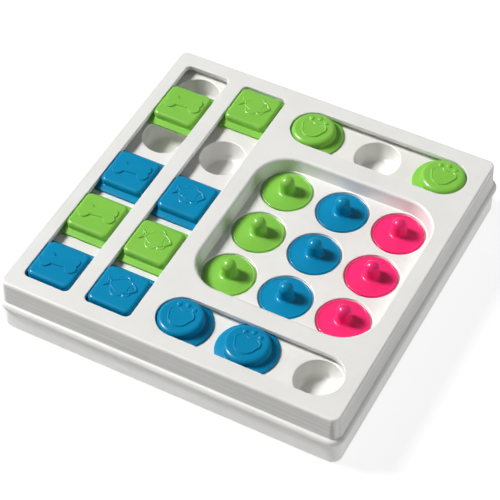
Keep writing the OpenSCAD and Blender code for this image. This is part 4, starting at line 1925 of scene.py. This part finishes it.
@dataclass
class Studio:
    """Floor, lamps and camera, in metres and watts. The camera's place and sensor are in millimetres."""

    focal_px: float = 1853.4
    frame_px: float = 500.0
    sensor: float = 36.0
    view_end: float = 20.0
    azimuth: float = 28.795
    elevation: float = 49.147
    roll: float = -1.091
    distance: float = 1501.5
    target: Place = (12.39, -30.09, 54.0)
    floor_size: float = 6.0
    floor_tone: float = 0.74
    floor_roughness: float = 0.9
    floor_glow: float = 0.86
    floor_shade: float = 0.24
    key_from: Place = (-5.2, -1.05, 5.5)
    key_size: float = 1.9
    key_power: float = 708.0
    key_colour: Colour = (1.0, 0.99, 0.975)
    sheen_size: float = 2.4
    sheen_power: float = 2300.0
    fill_from: Place = (2.0, 0.5, 0.42)
    fill_size: float = 0.8
    fill_power: float = 12.5
    white: Colour = (1.0, 1.0, 1.0)
    sky: float = 0.08
    sky_colour: Colour = (0.96, 0.98, 1.0)
    backdrop_tone: float = 0.8

    def camera(self) -> None:
        """Sets the camera at the photograph's viewing angle."""
        az, el, roll = (math.radians(a) for a in (self.azimuth, self.elevation, self.roll))
        back = Vector((math.sin(az) * math.cos(el), -math.cos(az) * math.cos(el), math.sin(el)))
        right = Vector((0, 0, 1)).cross(back).normalized()
        up = back.cross(right)
        level = math.cos(roll) * right + math.sin(roll) * up
        lift = math.cos(roll) * up - math.sin(roll) * right
        spot = Vector(self.target) + back * self.distance
        lens = bpy.data.cameras.new("camera")
        lens.sensor_width = self.sensor
        lens.lens = self.focal_px * self.sensor / self.frame_px
        lens.clip_end = self.view_end
        eye = bpy.data.objects.new("camera", lens)
        turn = Matrix((level, lift, back)).transposed().to_4x4()
        eye.matrix_world = Matrix.Translation(spot * MM) @ turn
        bpy.context.scene.collection.objects.link(eye)
        bpy.context.scene.camera = eye

    def floor(self) -> None:
        """Lays a pale floor that shows white to the camera and keeps the shadow."""
        half = self.floor_size / 2
        mesh = bpy.data.meshes.new("floor")
        corners = [(-half, -half, 0), (half, -half, 0), (half, half, 0), (-half, half, 0)]
        mesh.from_pydata(corners, [], [(0, 1, 2, 3)])
        stuff = bpy.data.materials.new("pale_floor")
        stuff.use_nodes = True
        nodes = Nodes(stuff.node_tree)
        shader = nodes.tree.nodes["Principled BSDF"]
        nodes.feed(shader.inputs["Base Color"], grey(self.floor_tone))
        nodes.feed(shader.inputs["Roughness"], self.floor_roughness)
        glow = nodes.out("ShaderNodeEmission", {"Strength": self.floor_glow})
        shade = nodes.out("ShaderNodeBsdfDiffuse", {"Color": grey(self.floor_shade)})
        both = nodes.out("ShaderNodeAddShader", {0: glow, 1: shade})
        mix = nodes.out("ShaderNodeMixShader", {0: seen_rays(nodes), 1: shader.outputs[0], 2: both})
        nodes.feed(nodes.tree.nodes["Material Output"].inputs["Surface"], mix)
        mesh.materials.append(stuff)
        link("floor", mesh)

    def lamp(self, name: str, spot: Place, size: float, power: float, colour: Colour, mirrored: bool = True,
             lighting: bool = True) -> None:
        """Hangs a square soft box that looks at the board.

        Args:
            name: name of the lamp.
            spot: its place in metres.
            size: its side in metres.
            power: its power in watts.
            colour: its colour.
            mirrored: whether glossy surfaces show it.
            lighting: whether it lights surfaces as well.
        """
        light = bpy.data.lights.new(name, "AREA")
        light.size = size
        light.energy = power
        light.color = colour
        lamp = bpy.data.objects.new(name, light)
        lamp.visible_glossy = mirrored
        lamp.visible_diffuse = lighting
        place = Vector(spot)
        lamp.matrix_world = Matrix.Translation(place) @ place.to_track_quat("Z", "Y").to_matrix().to_4x4()
        bpy.context.scene.collection.objects.link(lamp)

    def light(self) -> None:
        """Lights the board softly from the left, with a sheen from there and a weak fill from the right."""
        self.lamp("key_light", self.key_from, self.key_size, self.key_power, self.key_colour)
        self.lamp("sheen_light", self.key_from, self.sheen_size, self.sheen_power, self.white, lighting=False)
        self.lamp("fill_light", self.fill_from, self.fill_size, self.fill_power, self.white, mirrored=False)

    def world(self) -> None:
        """Gives the board a weak sky, and the seen rays a pale backdrop."""
        world = bpy.data.worlds.new("studio")
        bpy.context.scene.world = world
        world.use_nodes = True
        nodes = Nodes(world.node_tree)
        sky = nodes.tree.nodes["Background"]
        nodes.feed(sky.inputs["Color"], (*self.sky_colour, 1.0))
        nodes.feed(sky.inputs["Strength"], self.sky)
        backdrop = nodes.out("ShaderNodeBackground", {"Color": grey(self.backdrop_tone), "Strength": 1.0})
        mix = nodes.out("ShaderNodeMixShader", {0: seen_rays(nodes), 1: sky.outputs[0], 2: backdrop})
        nodes.feed(nodes.tree.nodes["World Output"].inputs["Surface"], mix)

    def build(self) -> None:
        """Sets up the whole studio."""
        self.camera()
        self.floor()
        self.light()
        self.world()
        bpy.context.scene.view_settings.view_transform = "Standard"


# The whole feeder


def straight_ear(layout: Layout, x: float, end: int) -> Ear:
    """The ear across one end of a straight tray.

    Args:
        layout: the shared layout.
        x: the tray's middle.
        end: -1 for the front, 1 for the back.

    Returns:
        Its outline and the middles of its screw holes.
    """
    r, depth = layout.ear_r, layout.ear_depth
    middle = (x, end * (layout.ear_y + r - depth / 2))
    outline = Ring.rounded(2 * (layout.ear_x + r), depth, r, middle, 5).at(r)
    return outline, tuple((x + side * layout.ear_x, end * layout.ear_y) for side in SIDES)


def round_ear(layout: Layout, y: float, side: int, end: int) -> Ear:
    """The ear outside one quarter of a round-ended tray.

    Args:
        layout: the shared layout.
        y: the tray's middle.
        side: -1 for the left, 1 for the right.
        end: -1 for the front, 1 for the back.

    Returns:
        Its outline and the middle of its screw hole.
    """
    reach, lobe, wall_r = layout.round_reach(), layout.ear_r, layout.round_wall_r() - layout.ear_sink
    rim = math.degrees(math.asin((reach + lobe) / wall_r))
    points = arc((0.0, 0.0), wall_r, math.degrees(math.acos(reach / wall_r)), rim, 8)
    points += arc((reach, reach), lobe, 90, -90, 10)
    middle = (layout.round_x + side * layout.round_run / 2, y)
    outline = np.array([(middle[0] + side * u, middle[1] + end * v) for u, v in points])
    return outline, ((middle[0] + side * reach, middle[1] + end * reach),)


def track_trays(layout: Layout) -> list[TrackTray]:
    """The four trays under the slots.

    Args:
        layout: the shared layout.

    Returns:
        The two straight trays and the two round-ended ones.
    """
    gap = 2 * layout.groove_gap
    groove_w, round_w = layout.flange[0] + gap, layout.round_flange_d + gap
    groove_d = layout.slot_l + layout.groove_over
    pitch, round_pitch = (groove_d - layout.flange[1] - layout.end_gap) / 4, layout.round_run / 2
    trays = []
    for node, x in (("bone_track_tray", layout.bone_x), ("fish_track_tray", layout.fish_x)):
        cups = tuple((x, k * pitch) for k in range(-2, 3))
        ears = tuple(straight_ear(layout, x, end) for end in SIDES)
        trays.append(TrackTray(layout, node, (x, 0.0), groove_w, groove_d, layout.slot_corner, cups, ears))
    for node, y in (("back_track_tray", layout.round_y), ("front_track_tray", -layout.round_y)):
        cups = tuple((layout.round_x + k * round_pitch, y) for k in (-1, 0, 1))
        ears = tuple(round_ear(layout, y, side, end) for side, end in CORNERS)
        middle, width = (layout.round_x, y), layout.round_run + round_w
        trays.append(TrackTray(layout, node, middle, width, round_w, round_w / 2, cups, ears))
    return trays


def sliders(layout: Layout) -> list[Slider]:
    """The twelve captive covers, from the front to the back or from the left to the right.

    Args:
        layout: the shared layout.

    Returns:
        All the sliders.
    """
    pairs = (Tint.BLUE, Tint.GREEN)
    covers = [Slider(layout, f"bone_slider_{i + 1}", pairs[i % 2], BoneRelief()) for i in range(4)]
    covers += [Slider(layout, f"fish_slider_{i + 1}", pairs[i % 2], FishRelief()) for i in range(4)]
    covers += [Slider.round(layout, f"back_paw_slider_{i + 1}", Tint.GREEN) for i in range(2)]
    covers += [Slider.round(layout, f"front_paw_slider_{i + 1}", Tint.BLUE) for i in range(2)]
    return covers


def main() -> None:
    """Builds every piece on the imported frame, and the studio round it."""
    logging.basicConfig(level=logging.INFO, format="%(name)s: %(message)s")
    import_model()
    layout = Layout()
    base = BaseTray(layout)
    lids = [KnobLid(layout, f"{tint.name.lower()}_lid_{row}", tint) for tint in Tint for row in (1, 2, 3)]
    assemblies = [TopCover(layout), base, *track_trays(layout), LidTray(layout), *sliders(layout), *lids,
                  Screws(layout), Feet(base.feet())]
    for assembly in assemblies:
        assembly.dress(assembly.build())
    Studio().build()


if __name__ == "__main__":
    main()
